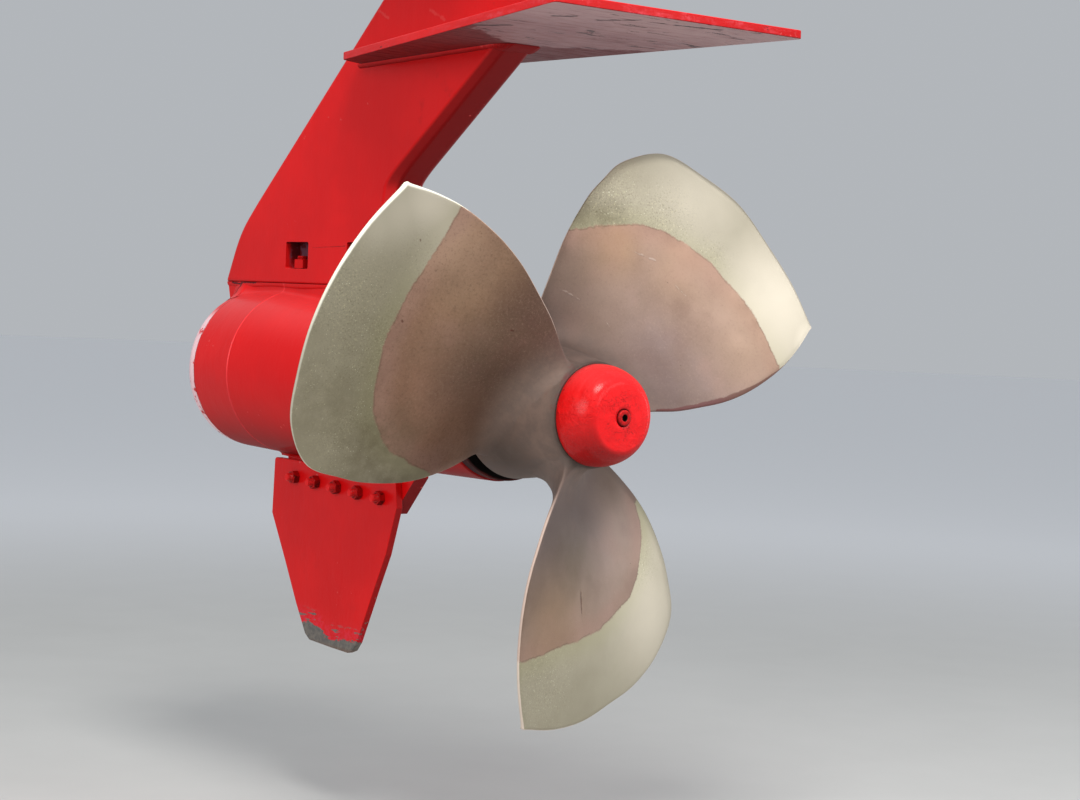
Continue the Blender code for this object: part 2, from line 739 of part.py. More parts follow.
def add_nose(frame, red):
    end_y = NOSE_ROUND_START_Y + NOSE_ROUND_LENGTH
    rings = [circle(POD_FORE_RADIUS, NOSE_JOINT_Y, POD_SIDES, POD_RISE)]
    for k in range(NOSE_RINGS):
        y = NOSE_ROUND_START_Y + NOSE_ROUND_LENGTH * math.sin(k / (NOSE_RINGS - 1) * math.pi / 2)
        radius = max(nose_radius(y), POD_FORE_RADIUS * NOSE_FACE_SHARE)
        rings.append(circle(radius, y, POD_SIDES, POD_RISE))
    nose = add_object("nose_fairing", loft("nose_fairing", rings), frame, red, 35)
    neck = neck_mesh("nose_neck_form", NOSE_JOINT_Y, 2 * end_y)
    boolean(nose, add_cutter("nose_neck_form", neck, frame), "UNION")


def add_bearing_cap(frame, primer, rubber):
    y = BEARING_CAP_AFT_Y
    bore = SHAFT_RADIUS + SHAFT_RUNNING_GAP
    profile = [
        (bore, y), (BEARING_CAP_RADIUS, y),
        (BEARING_CAP_RADIUS, y + BEARING_CAP_LENGTH), (bore, y + BEARING_CAP_LENGTH),
    ]
    add_object("bearing_cap", turned_ring("bearing_cap", profile, SHAFT_SIDES), frame, primer, 35)
    aft = HUB_FORE_Y + SEAL_RUNNING_GAP
    profile = [(bore, aft), (SEAL_RADIUS, aft), (SEAL_RADIUS, y - GAP), (bore, y - GAP)]
    add_object("shaft_seal", turned_ring("shaft_seal", profile, SHAFT_SIDES), frame, rubber, 35)


def bolt_places():
    (first, last) = [Vector(place) for place in under_pod((SKEG_BOLT_FIRST, SKEG_BOLT_LAST))]
    return [first.lerp(last, k / (SKEG_BOLT_COUNT - 1)) for k in range(SKEG_BOLT_COUNT)]


def bolt_holes(name, reach):
    radius = SKEG_BOLT_RADIUS + GAP
    ends = []
    for centre in bolt_places():
        ends.append([disc(radius, centre, x, SKEG_HOLE_SIDES) for x in (-reach, reach)])
    return rods(name, ends)


def add_skeg(frame, red, steel):
    """The fin's plate with its bolts: heads to starboard, nuts and thread ends to port."""
    inner = -STUB_HALF_THICKNESS - GAP
    outer = inner - SKEG_THICKNESS
    outline = under_pod(SKEG_OUTLINE)
    skeg = add_object("skeg_plate", slab("skeg_plate", outline, outer, inner), frame, red)
    holes = bolt_holes("skeg_holes", SKEG_THICKNESS * 4)
    boolean(skeg, add_cutter("skeg_holes", holes, frame), "DIFFERENCE")
    for k, centre in enumerate(bolt_places()):
        add_bolt(f"skeg_bolt_{k + 1}", centre, outer - GAP, frame, steel)
        add_nut(f"skeg_nut_{k + 1}", centre, outer - GAP, frame, steel)


def add_bolt(name, centre, nut_seat_x, frame, steel):
    seat = STUB_HALF_THICKNESS + GAP
    end = nut_seat_x - SKEG_NUT_HEIGHT - SKEG_BOLT_PROUD
    mesh = loft(name, [
        hexagon(SKEG_BOLT_ACROSS, centre, seat + SKEG_BOLT_HEAD),
        hexagon(SKEG_BOLT_ACROSS, centre, seat),
        disc(SKEG_BOLT_RADIUS, centre, seat, SKEG_BOLT_SIDES),
        disc(SKEG_BOLT_RADIUS, centre, end, SKEG_BOLT_SIDES),
    ])
    add_object(name, mesh, frame, steel)


def add_nut(name, centre, seat_x, frame, steel):
    bore = SKEG_BOLT_RADIUS + GAP
    end = seat_x - SKEG_NUT_HEIGHT
    mesh = closed_band(name, [
        disc(bore, centre, seat_x, SKEG_BOLT_SIDES), hexagon(SKEG_BOLT_ACROSS, centre, seat_x),
        hexagon(SKEG_BOLT_ACROSS, centre, end), disc(bore, centre, end, SKEG_BOLT_SIDES),
    ])
    add_object(name, mesh, frame, steel)


def main():
    clear_scene()
    red = make_material("red_paint", (0.60, 0.010, 0.014), 0.35, 0.0)
    bronze = make_material("cast_bronze", (0.42, 0.31, 0.20), 0.38, 1.0)
    steel = make_material("painted_steel", (0.45, 0.012, 0.014), 0.45, 0.0)
    bare = make_material("bright_steel", (0.45, 0.45, 0.44), 0.35, 1.0)
    primer = make_material("worn_primer", (0.30, 0.06, 0.05), 0.6, 0.0)
    rubber = make_material("black_rubber", (0.02, 0.02, 0.02), 0.7, 0.0)
    frame = add_empty("shaft_frame", (0.0, -SHAFT_AFT, -SHAFT_DROP))
    spin = add_empty("propeller_axis", (0.0, 0.0, 0.0), frame)
    add_flange(frame, red)
    add_leg(frame, red, steel)
    add_weld("flange_weld", leg_top_z() - WELD_LEG, leg_top_z(), frame, red)
    add_plate(frame, red)
    add_plate_weld(frame, red)
    add_housing(frame, red)
    add_nose(frame, red)
    add_bearing_cap(frame, primer, rubber)
    add_skeg(frame, red, steel)
    add_propeller(spin, bronze)
    add_shaft(spin, bare)
    add_cap(spin, red, steel)
    bpy.context.view_layer.update()


main()
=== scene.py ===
"""Ship propeller on its drive leg: the visual model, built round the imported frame."""
import math

import bmesh
import bpy
import numpy as np
from mathutils import Matrix, Vector


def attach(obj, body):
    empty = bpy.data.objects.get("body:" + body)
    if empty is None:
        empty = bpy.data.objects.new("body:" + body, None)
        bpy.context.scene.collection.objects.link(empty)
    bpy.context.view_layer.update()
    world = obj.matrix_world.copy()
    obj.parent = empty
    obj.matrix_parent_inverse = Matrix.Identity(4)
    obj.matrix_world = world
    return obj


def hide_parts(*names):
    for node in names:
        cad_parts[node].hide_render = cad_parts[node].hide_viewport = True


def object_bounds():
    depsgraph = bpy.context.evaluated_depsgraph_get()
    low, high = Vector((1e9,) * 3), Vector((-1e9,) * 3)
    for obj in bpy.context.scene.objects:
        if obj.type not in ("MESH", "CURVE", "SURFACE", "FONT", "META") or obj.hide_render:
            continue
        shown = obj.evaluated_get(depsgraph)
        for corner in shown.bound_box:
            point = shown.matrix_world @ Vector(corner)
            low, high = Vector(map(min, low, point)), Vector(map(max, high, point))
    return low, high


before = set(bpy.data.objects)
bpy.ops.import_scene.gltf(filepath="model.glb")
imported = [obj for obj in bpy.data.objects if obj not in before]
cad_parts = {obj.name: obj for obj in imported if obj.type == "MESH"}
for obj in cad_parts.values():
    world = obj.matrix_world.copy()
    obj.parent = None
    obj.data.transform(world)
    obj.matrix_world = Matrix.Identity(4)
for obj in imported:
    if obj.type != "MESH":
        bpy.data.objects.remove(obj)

CAD_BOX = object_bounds()

# The origin of the shaft's frame, in which the shapes below are written. Metres, degrees.
SHAFT = Vector((0.0, -0.240, -0.880))
UP = Vector((0.0, 0.0, 1.0))
FORE = Vector((0.0, 1.0, 0.0))
STARBOARD = Vector((1.0, 0.0, 0.0))
GAP = 0.0003
RUNNING_GAP = 0.0006

TIP_RADIUS = 0.550
FIRST_BLADE_ANGLE = 137.33
BLADE_MIDDLE = 32.0
HUB_FORE_Y = 0.197
HUB_AFT_Y = -0.012
HUB_FORE_RADIUS = 0.128
HUB_AFT_RADIUS = 0.092
HUB_FLARE_SHARE = 0.35
HUB_SIDES = 120
HUB_ROUNDING = 0.0015
# How far the blades' roots stay inside the ends of the hub.
HUB_MARGIN = 0.0008
SHAFT_RADIUS = 0.045
LEADING_EDGE = (
    (1.000, 0.0), (1.000, 9.0), (0.997, 18.0), (0.9945, 27.0), (0.984, 36.0),
    (0.9665, 45.0), (0.897, 53.3), (0.790, 57.9), (0.701, 61.4), (0.562, 66.3),
    (0.407, 70.9), (0.250, 77.0), (0.190, 78.5),
)
TRAILING_EDGE = (
    (1.000, 0.0), (0.914, -3.0), (0.827, -5.9), (0.734, -8.5), (0.640, -10.9),
    (0.545, -12.8), (0.446, -14.0), (0.349, -15.1), (0.250, -14.6), (0.155, -14.6),
)
TRIM_START = 3
BLADE_TRIMS = (
    (-0.004, -0.006, -0.002, 0.008, 0.004, 0.003),
    (0.012, 0.002, -0.002, -0.029, -0.0155, -0.005),
    (-0.010, 0.003, 0.0045, 0.0215, 0.011, 0.002),
)
PITCH = (1.836, 2.255, 2.011)
RAKE = (0.0273, -0.0444)
BLADE_EDGE_THICKNESS = 0.006
BLADE_TIP_THICKNESS = 0.009
BLADE_ROOT_THICKNESS = 0.034
THICKNESS_POWER = 0.8
BACK_ARCH_POWER = 2.5
FACE_FILLET = 0.046
EDGE_FILLET = 0.022
FOOT_SHARE = 0.3
EASING_SHARE = 0.55
EASING_REACH = 1.6
RIM_WIDTH = 0.016
RIM_DROP = (0.0012, 0.0026)
BLADE_ROWS = 110
BLADE_COLUMNS = 46
ROW_POWER = 1.4
LAST_ROW_SHARE = 0.9965
EDGE_STEPS = 6
SMALL_STEP = 0.0008
FORWARD_STEP = 0.002
MOST_INSET = 0.3
EVEN_COLUMNS = 0.35
# The height above the hub from which the rims are fully ground.
RIM_FROM_HUB = 0.05
# Where the ground outer band of each blade ends: radius over tip radius, angle.
BAND_LINES = (
    ((0.823, -5.9), (0.807, -3.1), (0.785, 1.1), (0.765, 7.7), (0.760, 13.9), (0.752, 20.4),
     (0.747, 25.7), (0.734, 31.7), (0.720, 38.5), (0.704, 43.4), (0.666, 49.8), (0.626, 54.6),
     (0.543, 60.8), (0.480, 66.0)),
    ((0.806, -4.9), (0.799, -0.4), (0.793, 4.8), (0.781, 11.2), (0.760, 18.4), (0.756, 24.1),
     (0.735, 30.3), (0.718, 38.1), (0.691, 45.2), (0.628, 56.1), (0.586, 65.0)),
    ((0.800, -5.7), (0.768, 0.6), (0.740, 8.2), (0.725, 16.6), (0.721, 25.4), (0.706, 32.9),
     (0.699, 40.9), (0.665, 47.7), (0.597, 56.3), (0.556, 61.3), (0.510, 65.0)),
)

CAP_RADIUS = 0.0885
CAP_LENGTH = 0.0742
CAP_RIM_LENGTH = 0.010
CAP_RIM_ROUNDING = 0.0015
CAP_FACE_RADIUS = 0.055
CAP_SHOULDER_POWER = 1.75
CAP_DOME = 0.0022
CAP_DOME_POWER = 2.2
CAP_DOME_RINGS = (0.050, 0.045, 0.040, 0.034, 0.028, 0.022)
CAP_SEAT_ROUNDING = 0.0012
PLUG_RADIUS = 0.014
PLUG_DEPTH = 0.008
PLUG_PROUD = 0.004
PLUG_SEAT_GAP = 0.0008
PLUG_ROUNDING = 0.003
PLUG_HOLE_RADIUS = 0.0055
PLUG_HOLE_DEPTH = 0.008
HOLE_ROUNDING = 0.002

SEAL_RADIUS = 0.072
SEAL_GAP = 0.006
SEAL_GROOVE = 0.003
SEAL_EDGE = 0.001
# Where, from the seal's aft end, its lip is full, its groove starts, is deepest and ends.
SEAL_STEPS = (0.003, 0.007, 0.009, 0.011)
BEARING_CAP_AFT_Y = 0.2227
BEARING_CAP_LENGTH = 0.026
BEARING_CAP_RADIUS = 0.1346
BEARING_CAP_AFT_ROUNDING = 0.002
BEARING_CAP_FORE_ROUNDING = 0.001
BEARING_CAP_FACE_STEP = 0.012
POD_AFT_RADIUS = 0.1375
POD_FORE_RADIUS = 0.1673
POD_RISE = 0.026
POD_SIDES = 128
POD_BORE_FROM_Y = 0.1
POD_BORE_DEPTH = 0.185
JOINT_ROUNDING = 0.0018
NOSE_JOINT_Y = 0.950
NOSE_ROUND_START_Y = 1.1020
NOSE_ROUND_LENGTH = 0.0820
NOSE_ROUND_POWER = 1.88
NOSE_TAPER = 0.0040
NOSE_LIP_Y = 1.0900
NOSE_LIP = 0.0009
NOSE_RINGS = 30
NOSE_RING_POWER = 1.3
NOSE_TIP_RADIUS = 0.004
# Stations between the nose's joint and its lip, the lip's length and the last straight station.
NOSE_MIDDLE_YS = (1.02, 1.06)
NOSE_LIP_LENGTH = 0.0006
NOSE_LAST_Y = 1.096

LEG_HALF_THICKNESS = 0.043
LEG_CHAMFER_X = 0.017
LEG_CHAMFER_Y = 0.022
LEG_FOOT_Z = 0.207
LEG_TOP_Z = 0.8577
LEG_FORE_EDGE = (
    (0.207, 1.1766), (0.250, 1.1562), (0.290, 1.1355), (0.326, 1.1090), (0.373, 1.0600),
)
LEG_AFT_EDGE = ((0.207, 0.6110), (0.380, 0.5970), (0.410, 0.5860), (0.435, 0.5580))
LEG_FORE_RAKE = 48.7
LEG_AFT_RAKE = 54.3
LEG_ROUNDING = 0.005
# Above this the leg's edges run straight, through a few levels.
LEG_BEND_TOP_Z = 0.440
LEG_UPPER_LEVELS = (0.55, 0.66, 0.77)
NECK_INSET = 0.004
NECK_ROOT_Z = 0.070
NECK_PROW_SLOPE = 0.040
NECK_FILLET = 0.009
PROW_FILLET = 0.030
PROW_FILLET_FROM_Y = 1.04
PROW_FILLET_LENGTH = 0.10
FAR_FORE = 2.0
OUTLINE_STEP = 0.006
POCKET_LENGTH = 0.084
POCKET_HEIGHT = 0.054
POCKET_DEPTH = 0.034
POCKET_FLOOR_Z = 0.2375
POCKET_CENTRES_Y = (0.901, 0.676)
POCKET_NUT_ACROSS = 0.032
POCKET_NUT_INSET = 0.0015
POCKET_NUT_SHIFT = 0.005
POCKET_NUT_HEIGHT = 0.019
STUD_RADIUS = 0.011
STUD_PROUD = 0.007
STUD_FOOT = 0.001
STUD_GRIP = 0.0006
POCKET_CORNER = 0.004
POCKET_ROUNDING = 0.0012

FLANGE_THICKNESS = 0.022
FLANGE_LENGTH = 0.740
FLANGE_WIDTH = 0.260
FLANGE_CORNER = 0.030
FLANGE_ROUNDING = 0.0015
FLANGE_HOLE_RADIUS = 0.011
FLANGE_HOLE_EDGE = 0.032
FLANGE_HOLES_A_SIDE = 4
WELD_LEG = 0.009
WELD_FILL = 0.85
WELD_OVERLAP = 0.0005
RIPPLE_PITCH = 0.0042
RIPPLE_DRIFT = (0.9, 0.37)
SLOW_RIPPLE = (61.0, 1.3)
BEAD_BULGE = 0.25
SIDE_WELD = 0.0088
AFT_WELD = 0.022
FIN_FILLET = 0.007
# How far a fillet's hidden edges reach into the pieces that it joins.
FILLET_ROOT = 0.002
FILLET_SINK = 0.004
# The least share that a fillet's reach is divided by at a corner of its outline.
LEAST_CORNER_SHARE = 0.6
# The sealant under the leg's foot: its waves, and its legs out and down, least and added.
SEALANT_WAVE = (29.0, 1.1)
SEALANT_OUT = (0.0022, 0.0008)
SEALANT_DOWN = (0.0070, 0.0030)

PLATE_THICKNESS = 0.015
PLATE_UNDERSIDE_Z = 0.654
PLATE_TILT = math.radians(-1.43)
PLATE_AFT_Y = -0.197
PLATE_AFT_HALF_WIDTH = 0.274
PLATE_FORE_Y = 0.665
PLATE_FORE_HALF_WIDTH = 0.104
PLATE_ARM_END_Y = 0.697
PLATE_CORNER = 0.008
PLATE_ROUNDING = 0.0018

STUB_HALF_THICKNESS = 0.015
STUB_OUTLINE = (
    (0.494, 0.051), (0.494, -0.012), (0.560, -0.087), (0.955, -0.087), (0.975, -0.064),
    (0.975, 0.051),
)
SKEG_THICKNESS = 0.015
SKEG_OUTLINE = (
    (0.977, -0.010), (0.981, -0.125), (0.924, -0.218), (0.876, -0.300), (0.838, -0.357),
    (0.822, -0.367), (0.744, -0.371), (0.682, -0.373), (0.666, -0.367), (0.650, -0.348),
    (0.598, -0.239), (0.562, -0.166), (0.5315, -0.073), (0.5385, -0.019), (0.539, -0.010),
)
SKEG_CORNER = 0.006
SKEG_ROUNDING = 0.002
SKEG_BOLTS = 5
SKEG_BOLT_FIRST = (0.891, -0.044)
SKEG_BOLT_LAST = (0.583, -0.0575)
SKEG_BOLT_RADIUS = 0.008
SKEG_BOLT_ACROSS = 0.024
SKEG_BOLT_HEAD = 0.010
SKEG_NUT_HEIGHT = 0.013
SKEG_BOLT_PROUD = 0.011
SKEG_HEAD_DIMPLE = 0.002
ROD_IN_HEAD = 0.002
FIRST_NUT_TURN = 0.35
NUT_TURN_STEP = 0.9
SKEG_THREAD_PITCH = 0.002
THREAD_DEPTH = 0.0011
THREAD_STEPS = 6
THREAD_END_LENGTH = 0.0015
THREAD_END_DROP = 0.0012
ROD_SIDES = 32
NUT_SIDES = 48
NUT_BORE_CHAMFER = 0.0012
NUT_CHAMFER_SHARE = 0.97
NUT_CHAMFER_SLOPE = 0.55


# Materials

def screen_colour(colour):
    """Scene-linear colour of one given as it looks on a screen."""
    straight = [v / 12.92 if v <= 0.04045 else ((v + 0.055) / 1.055) ** 2.4 for v in colour]
    return (*straight, 1.0)


class Signal:
    """An output of a node, which plain arithmetic works on."""

    def __init__(self, shading, socket):
        self.shading = shading
        self.socket = socket

    def __add__(self, other):
        return self.shading.math("ADD", self, other)

    def __sub__(self, other):
        return self.shading.math("SUBTRACT", self, other)

    def __rsub__(self, other):
        return self.shading.math("SUBTRACT", other, self)

    def __mul__(self, other):
        return self.shading.math("MULTIPLY", self, other)

    def __truediv__(self, other):
        return self.shading.math("DIVIDE", self, other)

    def __abs__(self):
        return self.shading.math("ABSOLUTE", self)


class Shading:
    """A material's node tree, written with short calls."""

    def __init__(self, name, inputs):
        self.material = bpy.data.materials.new(name)
        self.material.use_nodes = True
        self.tree = self.material.node_tree
        self.shader = self.tree.nodes["Principled BSDF"]
        self.feed(self.shader, inputs)
        self.place = self.node("TexCoord", {}, "Object")

    def feed(self, node, inputs):
        """Link or set a node's inputs."""
        for key, value in inputs.items():
            if isinstance(value, Signal):
                self.tree.links.new(value.socket, node.inputs[key])
            else:
                node.inputs[key].default_value = value

    def node(self, kind, inputs, output=0, **settings):
        """Add a node, feed its inputs and give one of its outputs."""
        node = self.tree.nodes.new("ShaderNode" + kind)
        for key, value in settings.items():
            setattr(node, key, value)
        self.feed(node, inputs)
        return Signal(self, node.outputs[output])

    def math(self, operation, a, b=0.0, clamp=False):
        return self.node("Math", {0: a, 1: b}, operation=operation, use_clamp=clamp)

    def ramp(self, value, low, high, start=0.0, end=1.0):
        """Smooth step from start to end while value goes from low to high."""
        inputs = {"Value": value, "From Min": low, "From Max": high, "To Min": start, "To Max": end}
        return self.node("MapRange", inputs, interpolation_type="SMOOTHSTEP")

    def fall(self, value, low, high, most=1.0):
        """Smooth step down to nothing."""
        return self.ramp(value, low, high, most, 0.0)

    def mix(self, share, a, b):
        """Blend two colours, each a signal or the numbers of a screen colour."""
        a, b = [c if isinstance(c, Signal) else screen_colour(c) for c in (a, b)]
        return self.node("Mix", {"Factor": share, 6: a, 7: b}, 2, data_type="RGBA")

    def stretch(self, scale, degrees=0.0):
        """Places scaled after a turn round the upright axis."""
        turn = (0.0, 0.0, math.radians(degrees))
        return self.node("Mapping", {"Vector": self.place, "Rotation": turn, "Scale": scale})

    def noise(self, scale, detail=3.0, roughness=0.5, vector=None, distortion=0.0):
        inputs = {"Vector": vector or self.place, "Scale": scale, "Detail": detail,
                  "Roughness": roughness, "Distortion": distortion}
        return self.node("TexNoise", inputs, "Fac")

    def cells(self, scale):
        return self.node("TexVoronoi", {"Vector": self.place, "Scale": scale}, "Distance")

    def split(self, vector=None):
        node = self.tree.nodes.new("ShaderNodeSeparateXYZ")
        self.feed(node, {0: vector or self.place})
        return [Signal(self, socket) for socket in node.outputs]

    def joined(self, x, y, z):
        return self.node("CombineXYZ", {0: x, 1: y, 2: z})

    def vector(self, operation, a, b=(0.0, 0.0, 0.0)):
        second = "Scale" if operation == "SCALE" else 1
        output = "Value" if operation in ("DOT_PRODUCT", "LENGTH") else "Vector"
        return self.node("VectorMath", {0: a, second: b}, output, operation=operation)

    def near(self, paths, keep=(1.0, 1.0, 1.0)):
        """Distance to the nearest of some lines in the row's frame; keep can drop an axis."""
        best = 1.0
        here = self.vector("MULTIPLY", self.place, keep)
        for path in paths:
            for a, b in zip(path, path[1:]):
                a = a * Vector(keep)
                step = b * Vector(keep) - a
                off = self.vector("SUBTRACT", here, tuple(a))
                share = self.vector("DOT_PRODUCT", off, tuple(step / step.length_squared))
                share = self.math("MULTIPLY", share, 1.0, clamp=True)
                foot = self.vector("SCALE", tuple(step), share)
                far = self.vector("LENGTH", self.vector("SUBTRACT", off, foot))
                best = self.math("MINIMUM", best, far)
        return best

    def curve(self, value, points):
        """Straight lines through (value, result) points."""
        low, high = points[0][0], points[-1][0]
        least = min(y for _, y in points)
        span = max(y for _, y in points) - least
        node = self.tree.nodes.new("ShaderNodeValToRGB")
        self.feed(node, {0: (value - low) * (1 / (high - low))})
        stops = node.color_ramp.elements
        while len(stops) < len(points):
            stops.new(1.0)
        for stop, (x, y) in zip(stops, points):
            stop.position = (x - low) / (high - low)
            stop.color = [(y - least) / span] * 3 + [1.0]
        return self.split(Signal(self, node.outputs[0]))[0] * span + least

    def facing(self, direction, low, high, most=1.0):
        """How far a surface faces one way of the row's frame, from 0 to most."""
        normal = self.node("TexCoord", {}, "Normal")
        return self.ramp(self.vector("DOT_PRODUCT", normal, direction), low, high, 0.0, most)

    def from_shaft(self):
        """Distance from the shaft's axis, and the angle round it."""
        x, _, z = self.split()
        z = z - SHAFT.z
        return self.math("SQRT", x * x + z * z), self.math("ARCTAN2", z, x)

    def stored(self, name):
        """The three numbers that mark_casting stored under a name."""
        return self.split(self.node("Attribute", {}, "Vector", attribute_name=name))

    def bump(self, height, strength, distance):
        return self.node("Bump", {"Height": height, "Strength": strength, "Distance": distance})

    def finish(self, colour, rough, normal=None, metallic=0.0):
        self.feed(self.shader, {"Base Color": colour, "Roughness": rough, "Metallic": metallic})
        if normal is not None:
            self.feed(self.shader, {"Normal": normal})
        return self.material


RED = (0.86, 0.07, 0.075)
RED_DEEP = (0.8, 0.045, 0.055)
RED_FADED = (0.84, 0.34, 0.33)
RED_DARK = (0.36, 0.03, 0.035)
UNDERCOAT = (0.93, 0.8, 0.82)
# Faces that look this way, down and aft, see only the ground: red_coat paints shade on them and gives them a
# rougher, grimy finish.
SHADED_WAY = (0.0, -0.5, -0.866)


def shaft_points(*points):
    return [SHAFT + Vector(point) for point in points]


def red_coat(s, strokes, wear=0.0, gloss=0.28, relief=0.3, shade=0.8):
    """Thick brushed gloss paint with grime, a few worn flecks, painted shade on faces that look down and aft
    and a painted sheen on faces that look up: colour, roughness, height.
    """
    broad = s.noise(3.5, 4.0, 0.6)
    colour = s.mix(s.ramp(broad, 0.35, 0.7), RED_DEEP, RED)
    brushed = s.noise(7.0, 4.0, 0.6, s.stretch(strokes))
    colour = s.mix(s.ramp(brushed, 0.62, 0.85, 0.0, 0.3), colour, (0.9, 0.14, 0.13))
    grime = s.ramp(s.noise(22.0, 6.0, 0.7), 0.55, 0.78) * s.ramp(broad, 0.4, 0.7)
    colour = s.mix(grime * 0.35, colour, (0.4, 0.05, 0.05))
    # Painted shade: faces that look down and aft turn dark red.
    colour = s.mix(s.facing(SHADED_WAY, 0.2, 0.95) * shade, colour, RED_DARK)
    # Painted sheen: faces that look up turn a paler pink.
    colour = s.mix(s.facing((0.0, 0.0, 1.0), 0.35, 1.0, 0.3), colour, (0.95, 0.36, 0.37))
    flecks = s.noise(65.0, 5.0, 0.65)
    patch = s.noise(9.0, 3.0, 0.6)
    worn = s.ramp(flecks + patch * 0.5, 0.985 - wear, 1.02 - wear)
    colour = s.mix(worn * 0.8, colour, RED_FADED)
    peel = s.noise(160.0, 2.0, 0.5)
    height = brushed * 0.5 + peel * 0.12 + s.noise(16.0, 3.0, 0.5) * relief - worn * 0.25
    rough = s.ramp(broad, 0.3, 0.75, gloss, gloss + 0.12) + worn * 0.25
    return colour, rough + s.facing(SHADED_WAY, 0.1, 0.8, 0.35), height


def red_shading(name, coat=0.10, coat_roughness=0.14):
    return Shading(name, {"Coat Weight": coat, "Coat Roughness": coat_roughness,
                          "Specular IOR Level": 0.12})


def red_paint(name, strokes, wear=0.0, gloss=0.28, relief=0.3):
    s = red_shading(name)
    colour, rough, height = red_coat(s, strokes, wear, gloss, relief)
    return s.finish(colour, rough, s.bump(height, 0.25, 0.004))


def leg_paint(name):
    """The leg's coat: painted shade and bare patches deep in the wrench pockets, a scraped seam and scuffs
    high up.
    """
    s = red_shading(name)
    colour, rough, height = red_coat(s, (4.0, 4.0, 1.5))
    x, y, z = s.split()
    ragged = s.noise(60.0, 4.0, 0.6)
    depth = LEG_HALF_THICKNESS - abs(x)
    low = SHAFT.z + POCKET_FLOOR_Z - 0.003
    top = low + POCKET_HEIGHT + 0.005
    reach = 1.0
    for centre in POCKET_CENTRES_Y:
        reach = s.math("MINIMUM", reach, abs(y - (SHAFT.y + centre)))
    half = POCKET_LENGTH / 2 + 0.003
    inside = s.ramp(z, low, low + 0.001) * s.ramp(z, top + 0.001, top) * s.ramp(reach, half + 0.001, half)
    # Painted shade deep in the wrench pockets, darkest under their roofs.
    deep = inside * s.ramp(depth - ragged * 0.012, 0.0, 0.012)
    high = s.ramp(z + ragged * 0.02, low + 0.012, low + 0.045, 0.35, 1.0)
    colour = s.mix(deep * high * 0.9, colour, (0.24, 0.06, 0.08))
    bare = deep * high * s.ramp(s.noise(45.0, 3.0, 0.6), 0.5, 0.56)
    colour = s.mix(bare * 0.6, colour, (0.42, 0.3, 0.36))
    side = -LEG_HALF_THICKNESS
    seam = s.near([shaft_points((side, 0.8418, 0.2799), (side, 0.7248, 0.2839))])
    seam = s.fall(seam + ragged * 0.0025, 0.0012, 0.0028)
    colour = s.mix(seam * s.ramp(s.noise(14.0, 2.0, 0.5), 0.4, 0.6, 0.15, 0.6), colour, RED_DARK)
    scuff = s.near([shaft_points((side, 0.6407, 0.7379), (side, 0.6054, 0.7199)),
                    shaft_points((side, 0.4674, 0.7243), (side, 0.4181, 0.7021))])
    scuff = s.fall(scuff + s.noise(90.0, 3.0, 0.7) * 0.02, 0.01, 0.014)
    colour = s.mix(scuff * 0.3, colour, RED_FADED)
    height = height - seam * 0.4
    return s.finish(colour, rough, s.bump(height, 0.25, 0.004))


# The cracks at the prow of the neck, as y and z in the shaft's frame.
NECK_CRACKS = (
    ((1.1189, 0.2070), (1.1165, 0.2000), (1.1250, 0.1900), (1.1200, 0.1834), (1.1260, 0.1750)),
    ((1.1550, 0.2050), (1.1215, 0.2025), (1.1050, 0.2070), (1.0600, 0.2065)),
)


def nose_paint(name):
    """The fairing's coat, worn to its undercoat round the front rim, cracked at the neck."""
    s = red_shading(name)
    colour, rough, height = red_coat(s, (2.5, 5.0, 2.5), wear=0.02, relief=0.6)
    _, y, z = s.split()
    ragged = s.noise(32.0, 6.0, 0.7)
    front = y + (ragged - 0.5) * 0.024
    line = SHAFT.y + NOSE_LIP_Y
    worn = s.ramp(front, line - 0.001, line + 0.002) * s.ramp(front, line + 0.062, line + 0.05)
    worn = worn * s.ramp(s.noise(48.0, 5.0, 0.7), 0.36, 0.46)
    worn = worn * s.ramp(z, SHAFT.z + 0.155, SHAFT.z + 0.125)
    colour = s.mix(worn * 0.92, colour, UNDERCOAT)
    lip = s.fall(abs(y - line) + ragged * 0.001, 0.0014, 0.0028)
    lip = lip * s.ramp(z, SHAFT.z + 0.185, SHAFT.z + 0.17)
    colour = s.mix(lip * 0.8, colour, RED_DARK)
    crack = s.near([shaft_points(*((0.0, y, z) for y, z in path)) for path in NECK_CRACKS], (0.0, 1.0, 1.0))
    crack = s.fall(crack + s.noise(140.0, 3.0, 0.7) * 0.006, 0.0042, 0.0056)
    colour = s.mix(crack * 0.9, colour, (0.2, 0.02, 0.03))
    # A paler pink line round the joint with the housing: worn paint and a painted highlight on the seam.
    joint = s.fall(abs(y - (SHAFT.y + NOSE_JOINT_Y)) + ragged * 0.006, 0.003, 0.0075)
    colour = s.mix(joint * 0.55, colour, (0.96, 0.3, 0.32))
    height = height - crack + worn * 0.5
    rough = rough + worn * 0.25
    return s.finish(colour, rough, s.bump(height, 0.3, 0.004))


# The height, over y, up to which the skeg is ground bare, in the shaft's frame.
SKEG_WEAR_LINE = (
    (0.560, -0.4980), (0.6304, -0.4909), (0.6554, -0.4867), (0.7084, -0.4945), (0.7519, -0.4949),
    (0.7746, -0.4861), (0.7827, -0.4752), (0.8202, -0.4724), (0.8578, -0.4736), (0.900, -0.4720),
)


